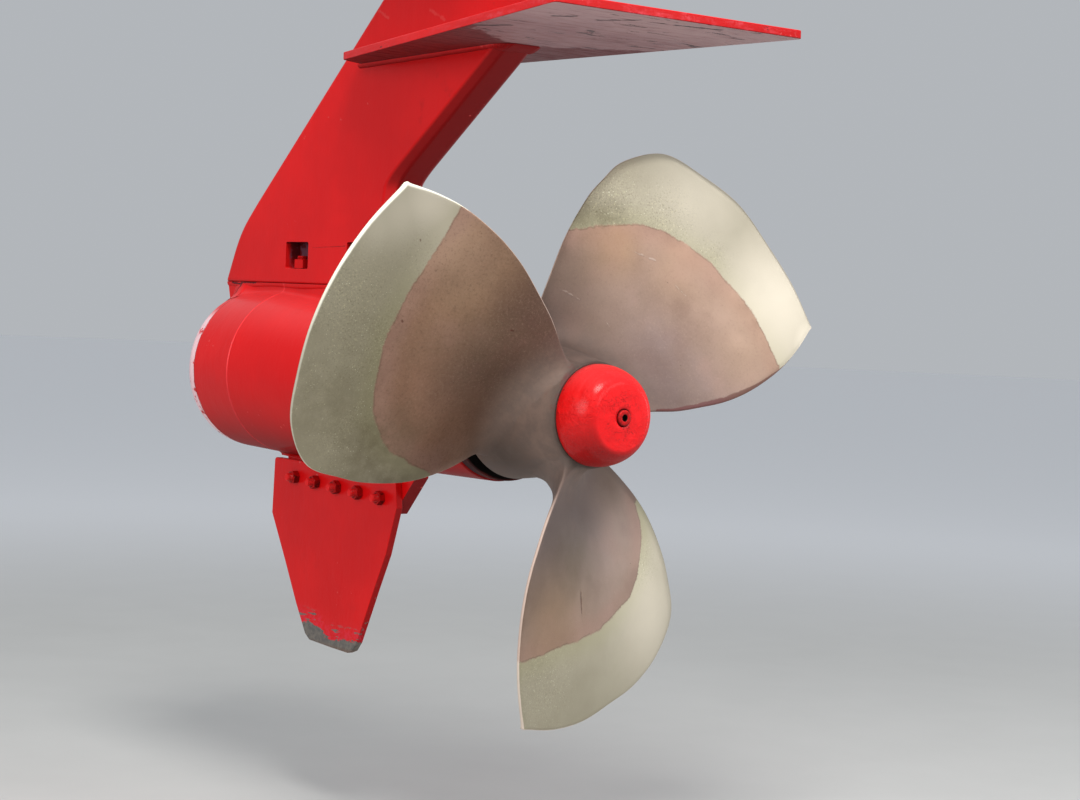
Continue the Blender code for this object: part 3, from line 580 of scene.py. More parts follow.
def skeg_paint(name):
    """The skeg's coat, ground away to bare steel along its tip and flaking above it."""
    s = red_shading(name)
    colour, rough, height = red_coat(s, (4.0, 5.0, 2.0), wear=0.02, shade=0.6)
    _, y, z = s.split()
    line = s.curve(y - SHAFT.y, SKEG_WEAR_LINE)
    above = z - SHAFT.z - line
    ragged = s.noise(110.0, 5.0, 0.7)
    torn = s.noise(45.0, 4.0, 0.6, s.stretch((1.0, 0.5, 1.8)))
    above = above + (torn - 0.5) * 0.03
    bare = s.fall(above + (ragged - 0.5) * 0.016, -0.0005, 0.0005)
    flakes = s.ramp(s.noise(62.0, 4.0, 0.6, s.stretch((1.0, 0.35, 2.2))), 0.585, 0.60)
    flakes = flakes * s.fall(above, 0.014, 0.034)
    scrapes = s.ramp(s.noise(120.0, 3.0, 0.7, s.stretch((1.0, 1.6, 0.7))), 0.6, 0.64)
    scrapes = scrapes * s.facing((0.0, -1.0, 0.0), 0.5, 0.8) * s.ramp(above, 0.16, 0.05)
    bare = s.math("MAXIMUM", s.math("MAXIMUM", bare, flakes), scrapes)
    pink = s.fall(above, 0.006, 0.045, 0.55) * s.ramp(ragged, 0.4, 0.62)
    colour = s.mix(pink, colour, (0.84, 0.18, 0.28))
    steel = s.mix(s.ramp(ragged, 0.35, 0.65), (0.4, 0.39, 0.38), (0.5, 0.47, 0.44))
    rust = s.fall(z + ragged * 0.01, SHAFT.z - 0.512, SHAFT.z - 0.498, 0.6)
    steel = s.mix(rust, steel, (0.5, 0.34, 0.24))
    colour = s.mix(bare, colour, steel)
    dots = s.near([shaft_points((-0.0303, 0.8800, -0.1540), (-0.0303, 0.8805, -0.1545)),
                   shaft_points((-0.0303, 0.8147, -0.1748), (-0.0303, 0.8152, -0.1752))])
    colour = s.mix(s.fall(dots, 0.0015, 0.003, 0.8), colour, RED_FADED)
    height = height - bare * 0.8
    return s.finish(colour, rough + bare * 0.2, s.bump(height, 0.35, 0.004), bare * 0.4)


def cap_paint(name):
    """The hub cap's coat: brushed round and round, wrinkled, cracked about the plug, with painted light on
    the side that looks up and aft and painted shade at the plug's seat.
    """
    s = red_shading(name, coat=0.26, coat_roughness=0.20)
    far, turn = s.from_shaft()
    colour, rough, height = red_coat(s, (6.0, 2.5, 6.0), gloss=0.40, relief=0.8, shade=0.6)
    # Painted light: the side of the cap that looks up and aft is a brighter red.
    colour = s.mix(s.facing((0.5, -0.7, 0.5), 0.1, 0.9, 0.7), colour, (0.98, 0.09, 0.11))
    _, y, _ = s.split()
    round_strokes = s.noise(95.0, 5.0, 0.6, s.joined(far, y, turn * 0.012))
    wrinkle = s.noise(70.0, 4.0, 0.7, distortion=1.2)
    patchy = s.ramp(s.noise(14.0, 2.0, 0.5), 0.36, 0.55, 0.15, 1.0)
    height = height + round_strokes * 0.55 + wrinkle * patchy * 1.5
    line = abs(s.noise(48.0, 4.0, 0.6, distortion=0.6) - 0.5)
    crack = s.fall(line, 0.004, 0.01) * s.fall(far, 0.02, 0.05, 0.8)
    crack = crack * s.ramp(s.noise(22.0, 2.0, 0.5), 0.42, 0.56)
    colour = s.mix(crack, colour, (0.45, 0.05, 0.05))
    # Painted shade in the gap round the plug's seat.
    seat = s.fall(abs(far - (PLUG_RADIUS + 0.0005)), 0.001, 0.002)
    colour = s.mix(seat * 0.85, colour, (0.22, 0.02, 0.02))
    chips = s.ramp(s.noise(80.0, 5.0, 0.7), 0.6, 0.64) * s.ramp(y, SHAFT.y - 0.03, SHAFT.y - 0.014)
    colour = s.mix(chips * 0.6, colour, (0.5, 0.06, 0.05))
    height = height - crack * 0.6
    return s.finish(colour, rough, s.bump(height, 0.75, 0.005))


def plug_paint(name):
    """The plug's coat with grimy flecks, painted shade round its foot and in its hole."""
    s = red_shading(name)
    far, _ = s.from_shaft()
    colour, rough, height = red_coat(s, (10.0, 10.0, 10.0), gloss=0.35)
    colour = s.mix(s.ramp(s.noise(160.0, 4.0, 0.7), 0.45, 0.65, 0.1, 0.6), colour, RED_DARK)
    # Painted shade: the inside of the hole is black.
    hole = s.fall(far, PLUG_HOLE_RADIUS + 0.0002, PLUG_HOLE_RADIUS + 0.0012)
    colour = s.mix(hole, colour, (0.06, 0.03, 0.03))
    # Painted shade round the plug's foot, where it sinks into the seat.
    rim = s.ramp(far, PLUG_RADIUS - 0.0012, PLUG_RADIUS - 0.0002, 0.0, 0.75)
    colour = s.mix(rim, colour, RED_DARK)
    return s.finish(colour, rough, s.bump(height, 0.3, 0.002))


def plate_paint(name):
    """The plate's coat: chipped and scraped to pink undercoat along its edge."""
    s = red_shading(name)
    colour, rough, height = red_coat(s, (3.0, 3.0, 30.0), wear=0.05, gloss=0.35)
    scraped = s.noise(20.0, 5.0, 0.65, s.stretch((1.0, 1.0, 4.0)))
    rubbed = s.ramp(scraped, 0.46, 0.7, 0.0, 0.5) * s.ramp(s.noise(120.0, 3.0, 0.7), 0.35, 0.6)
    colour = s.mix(rubbed, colour, (0.86, 0.34, 0.38))
    chips = s.ramp(s.noise(30.0, 6.0, 0.75, s.stretch((0.6, 0.6, 1.6))), 0.650, 0.670)
    colour = s.mix(chips * 0.85, colour, (0.3, 0.08, 0.09))
    height = height - chips - rubbed * 0.3
    return s.finish(colour, rough + rubbed * 0.3, s.bump(height, 0.35, 0.004))


def bolt_paint(name, base, worn, worn_from):
    """Bolts painted over with the leg, rubbed or rusty in places, with painted shade on their sides that
    look down and aft.
    """
    s = red_shading(name)
    patch = s.noise(120.0, 4.0, 0.65)
    rubbed = s.ramp(patch, worn_from, worn_from + 0.06)
    colour = s.mix(rubbed, base, worn)
    colour = s.mix(s.ramp(s.noise(300.0, 3.0, 0.6), 0.6, 0.75, 0.0, 0.3), colour, (0.25, 0.04, 0.04))
    # Painted shade on the sides that look down and aft.
    colour = s.mix(s.facing((0.3, -0.5, -0.8), 0.2, 0.8, 0.7), colour, (0.22, 0.02, 0.025))
    rough = s.ramp(patch, 0.3, 0.7, 0.35, 0.6)
    return s.finish(colour, rough, s.bump(s.noise(350.0, 4.0, 0.6), 0.2, 0.001))


def steel_finish(name):
    s = Shading(name, {})
    turned = s.noise(9.0, 3.0, 0.6, s.stretch((1.0, 120.0, 1.0)))
    colour = s.mix(turned, (0.62, 0.61, 0.58), (0.78, 0.77, 0.74))
    stain = s.ramp(s.noise(30.0, 5.0, 0.7), 0.5, 0.75)
    colour = s.mix(stain * 0.6, colour, (0.42, 0.3, 0.22))
    rough = s.ramp(turned, 0.3, 0.7, 0.22, 0.34) + stain * 0.3
    return s.finish(colour, rough, s.bump(turned, 0.25, 0.0008), 1.0)


def primer_finish(name):
    """The bearing cap: black within its rim, a painted shade of the gap by the seal, and a thin red-brown
    coat at its rim.
    """
    s = Shading(name, {"Specular IOR Level": 0.1})
    patch = s.noise(18.0, 6.0, 0.7)
    far, _ = s.from_shaft()
    rim = s.ramp(far + patch * 0.006, 0.133, 0.137)
    coat = s.mix(s.ramp(patch, 0.4, 0.65), (0.18, 0.08, 0.08), (0.34, 0.12, 0.11))
    # Painted shade: black within the rim, in the gap by the seal.
    colour = s.mix(rim, (0.06, 0.045, 0.04), coat)
    rough = s.ramp(patch, 0.3, 0.7, 0.5, 0.75)
    return s.finish(colour, rough, s.bump(s.noise(140.0, 4.0, 0.6), 0.4, 0.0015))


def rubber_finish(name):
    s = Shading(name, {})
    dust = s.noise(60.0, 5.0, 0.65)
    colour = s.mix(s.ramp(dust, 0.5, 0.8), (0.09, 0.09, 0.09), (0.22, 0.2, 0.18))
    return s.finish(colour, s.ramp(dust, 0.3, 0.8, 0.6, 0.85),
                    s.bump(s.noise(420.0, 2.0, 0.5), 0.3, 0.0006))


# The wide cracks in the plate's undercoat, as x and y in the shaft's frame.
PLATE_CRACKS = (
    ((-0.213, 0.107), (-0.168, 0.055)), ((-0.180, -0.080), (-0.158, -0.105)),
    ((-0.102, -0.102), (-0.058, -0.152)), ((0.017, -0.154), (0.105, -0.169)),
)


def underside_finish(name):
    """Worn pinkish undercoat with scratches, red again where the leg was painted."""
    s = Shading(name, {})
    x, y, _ = s.split()
    along = s.stretch((1.0, 7.0, 1.0), 38.0)
    marks = s.noise(16.0, 6.0, 0.68, along)
    patch = s.noise(7.0, 5.0, 0.62)
    colour = s.mix(s.ramp(patch, 0.35, 0.65), (0.55, 0.39, 0.4), (0.62, 0.46, 0.46))
    colour = s.mix(s.ramp(y, SHAFT.y + 0.1, SHAFT.y - 0.16, 0.0, 0.55), colour, (0.74, 0.62, 0.62))
    colour = s.mix(s.ramp(marks, 0.54, 0.68, 0.0, 0.3), colour, (0.34, 0.2, 0.22))
    cracks = s.noise(24.0, 5.0, 0.68, s.stretch((0.55, 2.2, 1.0), 30.0), distortion=0.4)
    cracks = s.ramp(cracks, 0.605, 0.622) * s.ramp(s.noise(5.0, 2.0, 0.5), 0.36, 0.46)
    torn = s.near([shaft_points(*((x, y, PLATE_UNDERSIDE_Z) for x, y in path)) for path in PLATE_CRACKS])
    torn = s.fall(torn + s.noise(60.0, 4.0, 0.7) * 0.016, 0.013, 0.016)
    cracks = s.math("MAXIMUM", cracks, torn)
    colour = s.mix(cracks * 0.9, colour, (0.16, 0.07, 0.08))
    faded = s.ramp(s.noise(30.0, 5.0, 0.7, along), 0.6, 0.72, 0.0, 0.25)
    colour = s.mix(faded, colour, (0.74, 0.66, 0.64))
    reach = y + abs(x) * 0.65 + (s.noise(26.0, 5.0, 0.65) - 0.5) * 0.1
    line = SHAFT.y + 0.250
    red = s.mix(s.ramp(marks, 0.5, 0.7, 0.0, 0.5), (0.4, 0.035, 0.045), (0.26, 0.035, 0.045))
    colour = s.mix(s.ramp(reach, line - 0.006, line + 0.006), colour, red)
    rough = s.ramp(marks, 0.4, 0.7, 0.5, 0.72)
    height = marks + s.noise(90.0) * 0.4 - cracks * 1.5
    return s.finish(colour, rough, s.bump(height, 0.5, 0.002))


def blade_point(blade, share, degrees):
    """A point of a blade's face, in the row's frame."""
    x, y, z = face_place(share * TIP_RADIUS, math.radians(degrees)).tolist()
    turn = Matrix.Rotation(-math.radians(FIRST_BLADE_ANGLE - 120.0 * blade), 3, "Y")
    return SHAFT + turn @ Vector((x, y, z)) - Vector((0.0, BLADE_EDGE_THICKNESS / 2, 0.0))


# Short marks on the blades: blade, then (share, angle) along each.
DARK_MARKS = (
    (0, (0.839, 4.95), (0.836, 5.1)), (0, (0.395, 2.4), (0.389, 2.0)), (0, (0.727, 20.6), (0.724, 20.8)),
    (2, (0.573, 17.8), (0.641, 17.8)),
)
PALE_MARKS = (
    (1, (0.361, 58.5), (0.357, 58.0)), (1, (0.595, 44.9), (0.615, 36.6)), (1, (0.596, 27.3), (0.599, 22.9)),
    (1, (0.347, 41.0), (0.334, 36.5)), (1, (0.395, 66.0), (0.388, 62.0), (0.376, 56.0)),
)


def blade_lines(marks):
    return [[blade_point(blade, *place) for place in places] for blade, *places in marks]


def bronze_finish(name):
    """Cast bronze: a ground pale band outside, a brown rubbed zone inside, a grey hub, with painted light
    and shade on the blades and a painted shadow on the hub.
    """
    s = Shading(name, {})
    zone, edge, share = s.stored("lay")
    cool, dim, white_rim = s.stored("mark")
    rim_width, rim_share, _ = s.stored("rim")
    pale, dark, paint = s.stored("tone")
    speckle, golden_tone, soot_and_shadow = s.stored("grime")
    grain = s.noise(700.0, 2.0, 0.7)
    stipple = s.noise(330.0, 3.0, 0.7)
    fine = s.noise(34.0, 6.0, 0.68)
    cloud = s.noise(7.0, 4.0, 0.6)
    ragged = zone + (fine - 0.5) * 0.01 + (cloud - 0.5) * 0.012
    band = s.ramp(ragged + (stipple - 0.5) * 0.008, -0.0015, 0.003)

    outer = s.mix(s.ramp(cloud, 0.3, 0.7), (0.6, 0.57, 0.49), (0.64, 0.61, 0.53))
    outer = s.mix(s.fall(ragged, 0.0, 0.05, 0.45), outer, (0.6, 0.58, 0.44))
    # Painted light: the paler tone patches on the outer band.
    outer = s.mix(pale, outer, (0.93, 0.888, 0.815))
    spots = s.ramp(stipple, 0.54, 0.70)
    holes = s.ramp(stipple, 0.46, 0.30)
    outer = s.mix(spots * speckle * 0.7, outer, (0.84, 0.81, 0.66))
    outer = s.mix(holes * speckle * 0.7, outer, (0.36, 0.34, 0.24))
    glints = s.ramp(s.cells(170.0), 0.17, 0.11) * s.ramp(s.noise(40.0, 3.0, 0.6), 0.42, 0.56)
    outer = s.mix(glints * speckle * 0.8, outer, (0.98, 0.97, 0.86))

    golden = s.mix(s.ramp(zone, -0.2, -0.06), (0.41, 0.285, 0.235), (0.57, 0.41, 0.315))
    grey = s.mix(s.ramp(zone, -0.2, -0.06), (0.54, 0.47, 0.45), (0.63, 0.54, 0.49))
    inner = s.mix(cool, golden, grey)
    pink = zone + (fine - 0.5) * 0.03
    inner = s.mix(s.ramp(pink, -0.05, -0.008, 0.0, 0.85 - cool * 0.4), inner, (0.66, 0.51, 0.45))
    inner = s.mix(golden_tone * 0.7, inner, (0.68, 0.53, 0.38))
    # Painted light: the paler tone patches on the inner zone.
    inner = s.mix(pale * 0.7, inner, (0.82, 0.69, 0.58))
    inner = s.mix(s.ramp(cloud, 0.4, 0.7, 0.0, 0.3), inner, (0.5, 0.41, 0.33))
    blotch = s.noise(10.0, 3.0, 0.5)
    inner = s.mix(s.ramp(blotch, 0.45, 0.75, 0.0, 0.26), inner, (0.36, 0.24, 0.2))
    inner = s.mix(s.ramp(blotch, 0.5, 0.25, 0.0, 0.24), inner, (0.68, 0.54, 0.49))
    worn_grain = s.noise(210.0, 4.0, 0.75)
    rubbed = 1.1 - cool * 0.9
    inner = s.mix(rubbed * s.ramp(worn_grain, 0.5, 0.72, 0.0, 0.36), inner, (0.3, 0.2, 0.16))
    inner = s.mix(rubbed * s.ramp(worn_grain, 0.48, 0.25, 0.0, 0.25), inner, (0.74, 0.6, 0.52))
    inner = s.mix(spots * 0.2, inner, (0.7, 0.6, 0.52))
    # Painted shade: each blade's inner zone darkened by the share of brightness that it does not keep.
    inner = s.mix(1.0 - dim, inner, (0.1, 0.08, 0.07))
    olive = (1.0 - cool) * s.ramp(edge, 0.02, 0.09, 0.18, 0.36)
    outer = s.mix(olive, outer, (0.36, 0.33, 0.2))
    hub = s.fall(share, 0.19, 0.34)
    hub_tone = s.mix(s.ramp(fine, 0.35, 0.65), (0.43, 0.37, 0.34), (0.5, 0.42, 0.38))
    inner = s.mix(hub * 0.8, inner, hub_tone)
    colour = s.mix(band, inner, outer)
    # Painted shade: a thin dark line along the band's edge, like the shade of a step.
    step = s.fall(abs(ragged + 0.0006), 0.0006, 0.002, 0.32)
    colour = s.mix(step * s.ramp(fine, 0.35, 0.55), colour, (0.3, 0.24, 0.18))

    # Stains and painted shade from the darker tone patches.
    stain = dark * s.ramp(fine + stipple * 0.5, 0.55, 0.85, 0.5, 1.0)
    colour = s.mix(stain, colour, (0.34, 0.3, 0.21))
    # Soot by the cap, and the painted shadow of the first blade on the hub.
    colour = s.mix(soot_and_shadow * s.ramp(fine, 0.3, 0.6, 0.6, 1.0), colour, (0.14, 0.12, 0.1))
    pits = s.fall(s.cells(60.0), 0.035, 0.07) * s.ramp(s.noise(11.0, 2.0, 0.5), 0.6, 0.68)
    colour = s.mix(pits * 0.8, colour, (0.2, 0.15, 0.11))
    nicks = s.near(blade_lines(DARK_MARKS))
    nicks = s.fall(nicks + s.noise(90.0, 3.0, 0.7) * 0.006, 0.0036, 0.0052)
    colour = s.mix(nicks * 0.6, colour, (0.3, 0.14, 0.1))
    scratches = s.near(blade_lines(PALE_MARKS))
    scratches = s.fall(scratches + s.noise(90.0, 3.0, 0.7) * 0.01, 0.0048, 0.0066)
    colour = s.mix(scratches * 0.2, colour, (0.86, 0.8, 0.76))
    # The ground rims are paler; the first blade's rim is white, a painted reflection of the sky.
    rim = rim_share * s.fall((edge + (fine - 0.5) * 0.002) / rim_width, 0.4, 1.1)
    colour = s.mix(rim, colour, s.mix(white_rim, (0.7, 0.59, 0.54), (0.96, 0.95, 0.88)))
    smear = s.ramp(paint + (fine - 0.5) * 1.6, 0.5, 0.78) * s.ramp(paint, 0.0, 0.9, 0.3, 0.9)
    red_brown = s.mix(s.ramp(share, 0.5, 0.62), (0.36, 0.15, 0.14), (0.37, 0.21, 0.155))
    colour = s.mix(smear, colour, red_brown)

    rough = s.ramp(band, 0.0, 1.0, 0.38, 0.46) + (fine - 0.5) * 0.12 + s.fall(share, 0.24, 0.46, 0.26)
    height = grain * 0.08 + stipple * s.ramp(ragged, -0.06, 0.0, 0.06, 0.2) + fine * 0.25
    height = height - pits * 0.6 - (nicks - scratches * 0.5) * 0.8
    metallic = (1.0 - s.math("MAXIMUM", smear, rim)) * s.ramp(hub, 0.0, 1.0, 0.75, 0.45)
    return s.finish(colour, rough, s.bump(height, 0.30, 0.002), metallic)


# Meshes

def mesh_from(bm, shaft_frame=True):
    bmesh.ops.recalc_face_normals(bm, faces=bm.faces)
    mesh = bpy.data.meshes.new("mesh")
    bm.to_mesh(mesh)
    bm.free()
    if shaft_frame:
        mesh.transform(Matrix.Translation(SHAFT))
    return mesh


def skin(bm, rings, closed):
    """Faces between rings of points: closed joins the last ring to the first, else both ends are capped."""
    rows = [[bm.verts.new(point) for point in ring] for ring in rings]
    count = len(rows[0])
    pairs = list(zip(rows, rows[1:]))
    if closed:
        pairs.append((rows[-1], rows[0]))
    for low, high in pairs:
        for i in range(count):
            j = (i + 1) % count
            bm.faces.new((low[i], low[j], high[j], high[i]))
    if not closed:
        bm.faces.new(list(reversed(rows[0])))
        bm.faces.new(rows[-1])


def solids_mesh(*solids):
    """One mesh of some solids, each given as its rings and whether they join in a circle."""
    bm = bmesh.new()
    for rings, closed in solids:
        skin(bm, rings, closed)
    return mesh_from(bm)


def loft(rings, closed=False):
    return solids_mesh((rings, closed))


def ring_points(radius, sides):
    turns = [2 * math.pi * i / sides for i in range(sides)]
    return [(radius * math.cos(t), radius * math.sin(t)) for t in turns]


def circle(radius, y, sides, z=0.0):
    return [Vector((a, y, z + b)) for a, b in ring_points(radius, sides)]


def turned(profile, sides, closed=False):
    """A body turned round the shaft axis from (radius, y) points."""
    return loft([circle(radius, y, sides) for radius, y in profile], closed)


def new_object(name, data):
    data.name = name
    thing = bpy.data.objects.new(name, data)
    bpy.context.scene.collection.objects.link(thing)
    return thing


def modify(thing, kind, **settings):
    step = thing.modifiers.new(kind.lower(), kind)
    for key, value in settings.items():
        setattr(step, key, value)


def round_edges(thing, width, segments, angle):
    """Bake what the object has so far, then bevel the edges sharper than an angle in degrees."""
    apply(thing)
    modify(thing, "BEVEL", width=width, segments=segments, limit_method="ANGLE",
           angle_limit=math.radians(angle))
    apply(thing)


def boolean(thing, mesh, operation):
    tool = new_object(thing.name + "_form", mesh)
    modify(thing, "BOOLEAN", object=tool, operation=operation, solver="EXACT")


def apply(thing):
    """Bake the modifiers into the mesh and drop the forms that they used."""
    bpy.context.view_layer.update()
    depsgraph = bpy.context.evaluated_depsgraph_get()
    mesh = bpy.data.meshes.new_from_object(thing.evaluated_get(depsgraph))
    tools = [m.object for m in thing.modifiers if m.type == "BOOLEAN"]
    thing.modifiers.clear()
    thing.data = mesh
    for tool in tools:
        bpy.data.objects.remove(tool, do_unlink=True)


def piece(thing, body, nodes, materials, sharp, even=False):
    """Give a finished object its materials and its place in the frame.

    Edges sharper than an angle in degrees stay sharp. even keeps big flat faces evenly shaded
    beside their small bevels.
    """
    mesh = thing.data
    mesh.materials.clear()
    for material in materials:
        mesh.materials.append(material)
    mesh.shade_smooth()
    mesh.set_sharp_from_angle(angle=math.radians(sharp))
    if even:
        modify(thing, "WEIGHTED_NORMAL", keep_sharp=True)
    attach(thing, body)
    if nodes:
        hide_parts(*nodes)


def spline_points(controls, shares):
    """Points at shares of the length of a Catmull-Rom curve through the control points."""
    dense = []
    for k in range(len(controls) - 1):
        before = controls[k - 1] if k else controls[0] * 2 - controls[1]
        start = controls[k]
        end = controls[k + 1]
        after = controls[k + 2] if k + 2 < len(controls) else end * 2 - start
        for step in range(16):
            t = step / 16
            a = start * 2
            b = (end - before) * t
            c = (before * 2 - start * 5 + end * 4 - after) * t * t
            d = (start * 3 - before - end * 3 + after) * t * t * t
            dense.append((a + b + c + d) / 2)
    dense.append(controls[-1])
    dense = np.array([tuple(p) for p in dense])
    steps = np.linalg.norm(np.diff(dense, axis=0), axis=1)
    lengths = np.concatenate(([0.0], np.cumsum(steps)))
    wanted = np.asarray(shares) * lengths[-1]
    return np.stack([np.interp(wanted, lengths, dense[:, i]) for i in range(dense.shape[1])], 1)


# The propeller's casting

def hub_radius(y):
    share = np.clip((y - HUB_AFT_Y) / (HUB_FORE_Y - HUB_AFT_Y), 0.0, 1.0)
    rise = (1 - HUB_FLARE_SHARE) * share + HUB_FLARE_SHARE * np.sin(share * math.pi / 2)
    return HUB_AFT_RADIUS + (HUB_FORE_RADIUS - HUB_AFT_RADIUS) * rise


def face_place(radius, angle):
    """The blade's face in cylinder coordinates: x, y and z as arrays, for turn 0."""
    q = radius / TIP_RADIUS - 1
    pitch = PITCH[0] + PITCH[1] * q + PITCH[2] * q ** 2
    rake = RAKE[0] * q + RAKE[1] * q ** 2
    advance = TIP_RADIUS * (rake - pitch * angle / (2 * math.pi))
    return np.stack([radius * np.cos(angle), -advance, radius * np.sin(angle)], -1)


def edge_rows(outline, shares):
    """Radius and angle along one edge, from the root to the sharp corner."""
    controls = []
    for share, degrees in reversed(outline):
        angle = math.radians(degrees)
        controls.append(Vector((math.cos(angle), math.sin(angle))) * share * TIP_RADIUS)
    flat = spline_points(controls, shares)
    return np.stack([np.hypot(flat[:, 0], flat[:, 1]), np.arctan2(flat[:, 1], flat[:, 0])], 1)


def trimmed_edge(trims):
    points = list(LEADING_EDGE)
    for k, change in enumerate(trims, TRIM_START):
        share, degrees = points[k]
        points[k] = (share + change, degrees)
    return points


def fillet(gap, radius):
    """How much the section grows at a height above the hub: a long easing and a round foot."""
    easing = EASING_SHARE * radius * np.clip(1 - gap / (EASING_REACH * radius), 0.0, 1.0) ** 3
    foot = FOOT_SHARE * radius
    low = np.clip(gap, 0.0, foot)
    return easing + foot - np.sqrt(foot ** 2 - (foot - low) ** 2)


def blade_mesh(turn, trims):
    """One closed blade: each row is a ring round the section, from the root to the corner."""
    shares = (np.arange(BLADE_ROWS + 1) / BLADE_ROWS) ** ROW_POWER * LAST_ROW_SHARE
    trailing = edge_rows(TRAILING_EDGE, shares)
    leading = edge_rows(trimmed_edge(trims), shares)
    half = BLADE_EDGE_THICKNESS / 2
    chord = np.linalg.norm(face_place(trailing[:, 0], trailing[:, 1])
                           - face_place(leading[:, 0], leading[:, 1]), axis=1)
    inset = np.minimum(half / chord, MOST_INSET)
    even = np.linspace(0.0, 1.0, BLADE_COLUMNS + 1)
    across = EVEN_COLUMNS * even + (1 - EVEN_COLUMNS) * (0.5 - 0.5 * np.cos(math.pi * even))
    swing = np.linspace(-math.pi / 2, math.pi / 2, EDGE_STEPS + 1)[1:-1]
    back = swing[::-1]
    flat = [inset + (1 - 2 * inset) * s for s in across]
    level = np.ones(len(flat))
    share = np.stack([*flat, *[1 - inset] * len(swing), *flat[::-1], *[inset] * len(swing)], 1)
    lift = np.concatenate([-level, np.sin(swing), level, np.sin(back)])
    reach = np.concatenate([0 * level, np.cos(swing), 0 * level, -np.cos(back)])

    def at(s):
        r = trailing[:, :1] + (leading[:, :1] - trailing[:, :1]) * s
        a = trailing[:, 1:] + (leading[:, 1:] - trailing[:, 1:]) * s
        return r, a

    radius, angle = at(share)
    here = face_place(radius, angle)
    normal = np.cross(face_place(radius + SMALL_STEP, angle) - here,
                      face_place(radius, angle + SMALL_STEP) - here)
    normal /= np.linalg.norm(normal, axis=-1, keepdims=True)
    normal *= np.sign(normal[..., 1:2])
    forward = face_place(*at(share + FORWARD_STEP)) - here
    forward /= np.linalg.norm(forward, axis=-1, keepdims=True)
    out = np.clip((radius - HUB_FORE_RADIUS) / (TIP_RADIUS - HUB_FORE_RADIUS), 0.0, 1.0)
    middle = BLADE_ROOT_THICKNESS + (BLADE_TIP_THICKNESS - BLADE_ROOT_THICKNESS) * out ** THICKNESS_POWER
    arch = 1 - np.abs(2 * share - 1) ** BACK_ARCH_POWER
    rise = (middle - BLADE_EDGE_THICKNESS) * arch
    rim = np.clip(1 - np.minimum(share, 1 - share) * chord[:, None] / RIM_WIDTH, 0.0, 1.0) ** 2
    rim = rim * np.where(share < 0.5, *RIM_DROP)
    around = np.arctan2(here[..., 2], here[..., 0])
    radial = np.stack([np.cos(around), 0 * around, np.sin(around)], -1)
    tangent = np.stack([-np.sin(around), 0 * around, np.cos(around)], -1)
    rho, theta, y = radius, around, here[..., 1]
    for _ in range(4):
        gap = rho - hub_radius(y)
        growth = fillet(gap, EDGE_FILLET)
        thick = half + growth + (fillet(gap, FACE_FILLET) - growth) * arch
        ground = rim * np.clip(-lift, 0.0, 1.0) * np.clip(gap / RIM_FROM_HUB, 0.0, 1.0)
        move = normal * (thick * lift + ground + rise * (lift + 1) / 2)[..., None]
        move = move + forward * ((half + growth) * reach)[..., None]
        rho = radius + (move * radial).sum(-1)
        theta = around + (move * tangent).sum(-1) / rho
        y = here[..., 1] + move[..., 1]
    inside_hub = np.clip(y, HUB_AFT_Y + HUB_MARGIN, HUB_FORE_Y - HUB_MARGIN)
    y = np.where(rho < HUB_FORE_RADIUS, inside_hub, y)
    points = np.stack([rho * np.cos(theta + turn), y, rho * np.sin(theta + turn)], -1)
    return loft([[Vector(p) for p in ring] for ring in points.tolist()])


def hub_mesh():
    bore = SHAFT_RADIUS + GAP
    points = []
    for share in np.linspace(0.0, 1.0, 30):
        y = HUB_AFT_Y + (HUB_FORE_Y - HUB_AFT_Y) * share
        points.append((float(hub_radius(y)), y))
    aft, fore = points[0][0], points[-1][0]
    profile = [(bore, HUB_AFT_Y), (aft - HUB_ROUNDING, HUB_AFT_Y), (aft, HUB_AFT_Y + HUB_ROUNDING)]
    profile += points[1:-1]
    profile += [(fore, HUB_FORE_Y - HUB_ROUNDING), (fore - HUB_ROUNDING, HUB_FORE_Y), (bore, HUB_FORE_Y)]
    return turned(profile, HUB_SIDES, closed=True)


# A distance beyond all others, and the least square of a step that is divided by.
FAR_AWAY = 1e9
LEAST_SQUARE = 1e-12


def line_distance(points, line):
    """Distance of flat points from a polyline, which may hold the same point twice."""
    best = np.full(len(points), FAR_AWAY)
    for a, b in zip(line, line[1:]):
        step = b - a
        t = np.clip(((points - a) @ step) / max(step @ step, LEAST_SQUARE), 0.0, 1.0)
        best = np.minimum(best, np.linalg.norm(points - a - t[:, None] * step, axis=1))
    return best


def store(mesh, name, *columns):
    data = np.stack([np.asarray(c, dtype=np.float32) for c in columns], 1)
    layer = mesh.attributes.new(name, "FLOAT_VECTOR", "POINT")
    layer.data.foreach_set("vector", data.ravel())


def flat_point(share, degrees):
    """Where a radius share and an angle lie on the blade seen along the shaft."""
    angle = np.radians(degrees)
    return np.stack([np.cos(angle), np.sin(angle)], -1) * np.asarray(share)[..., None] * TIP_RADIUS


# How grey each blade's inner zone is, and what share of its brightness it keeps under painted shade.
BLADE_COOL = (0.15, 0.8, 1.0)
BLADE_DIM = (0.90, 0.89, 0.58)
# Width of the ground rim of the first blade over its angle; this rim is painted white, a painted reflection
# of the sky.
BRIGHT_RIM_WIDTHS = (
    (-6.0, 0.0016), (-3.0, 0.0036), (0.0, 0.0064), (4.0, 0.0060), (12.0, 0.0054), (25.0, 0.0038),
    (45.0, 0.0025), (60.0, 0.0014),
)
# Width of the red-brown strip along the second blade's trailing edge, over the radius share.
RED_STRIP_WIDTHS = (
    (0.26, 0.0030), (0.34, 0.0048), (0.45, 0.0076), (0.60, 0.0080), (0.74, 0.0045), (0.84, 0.0015),
)
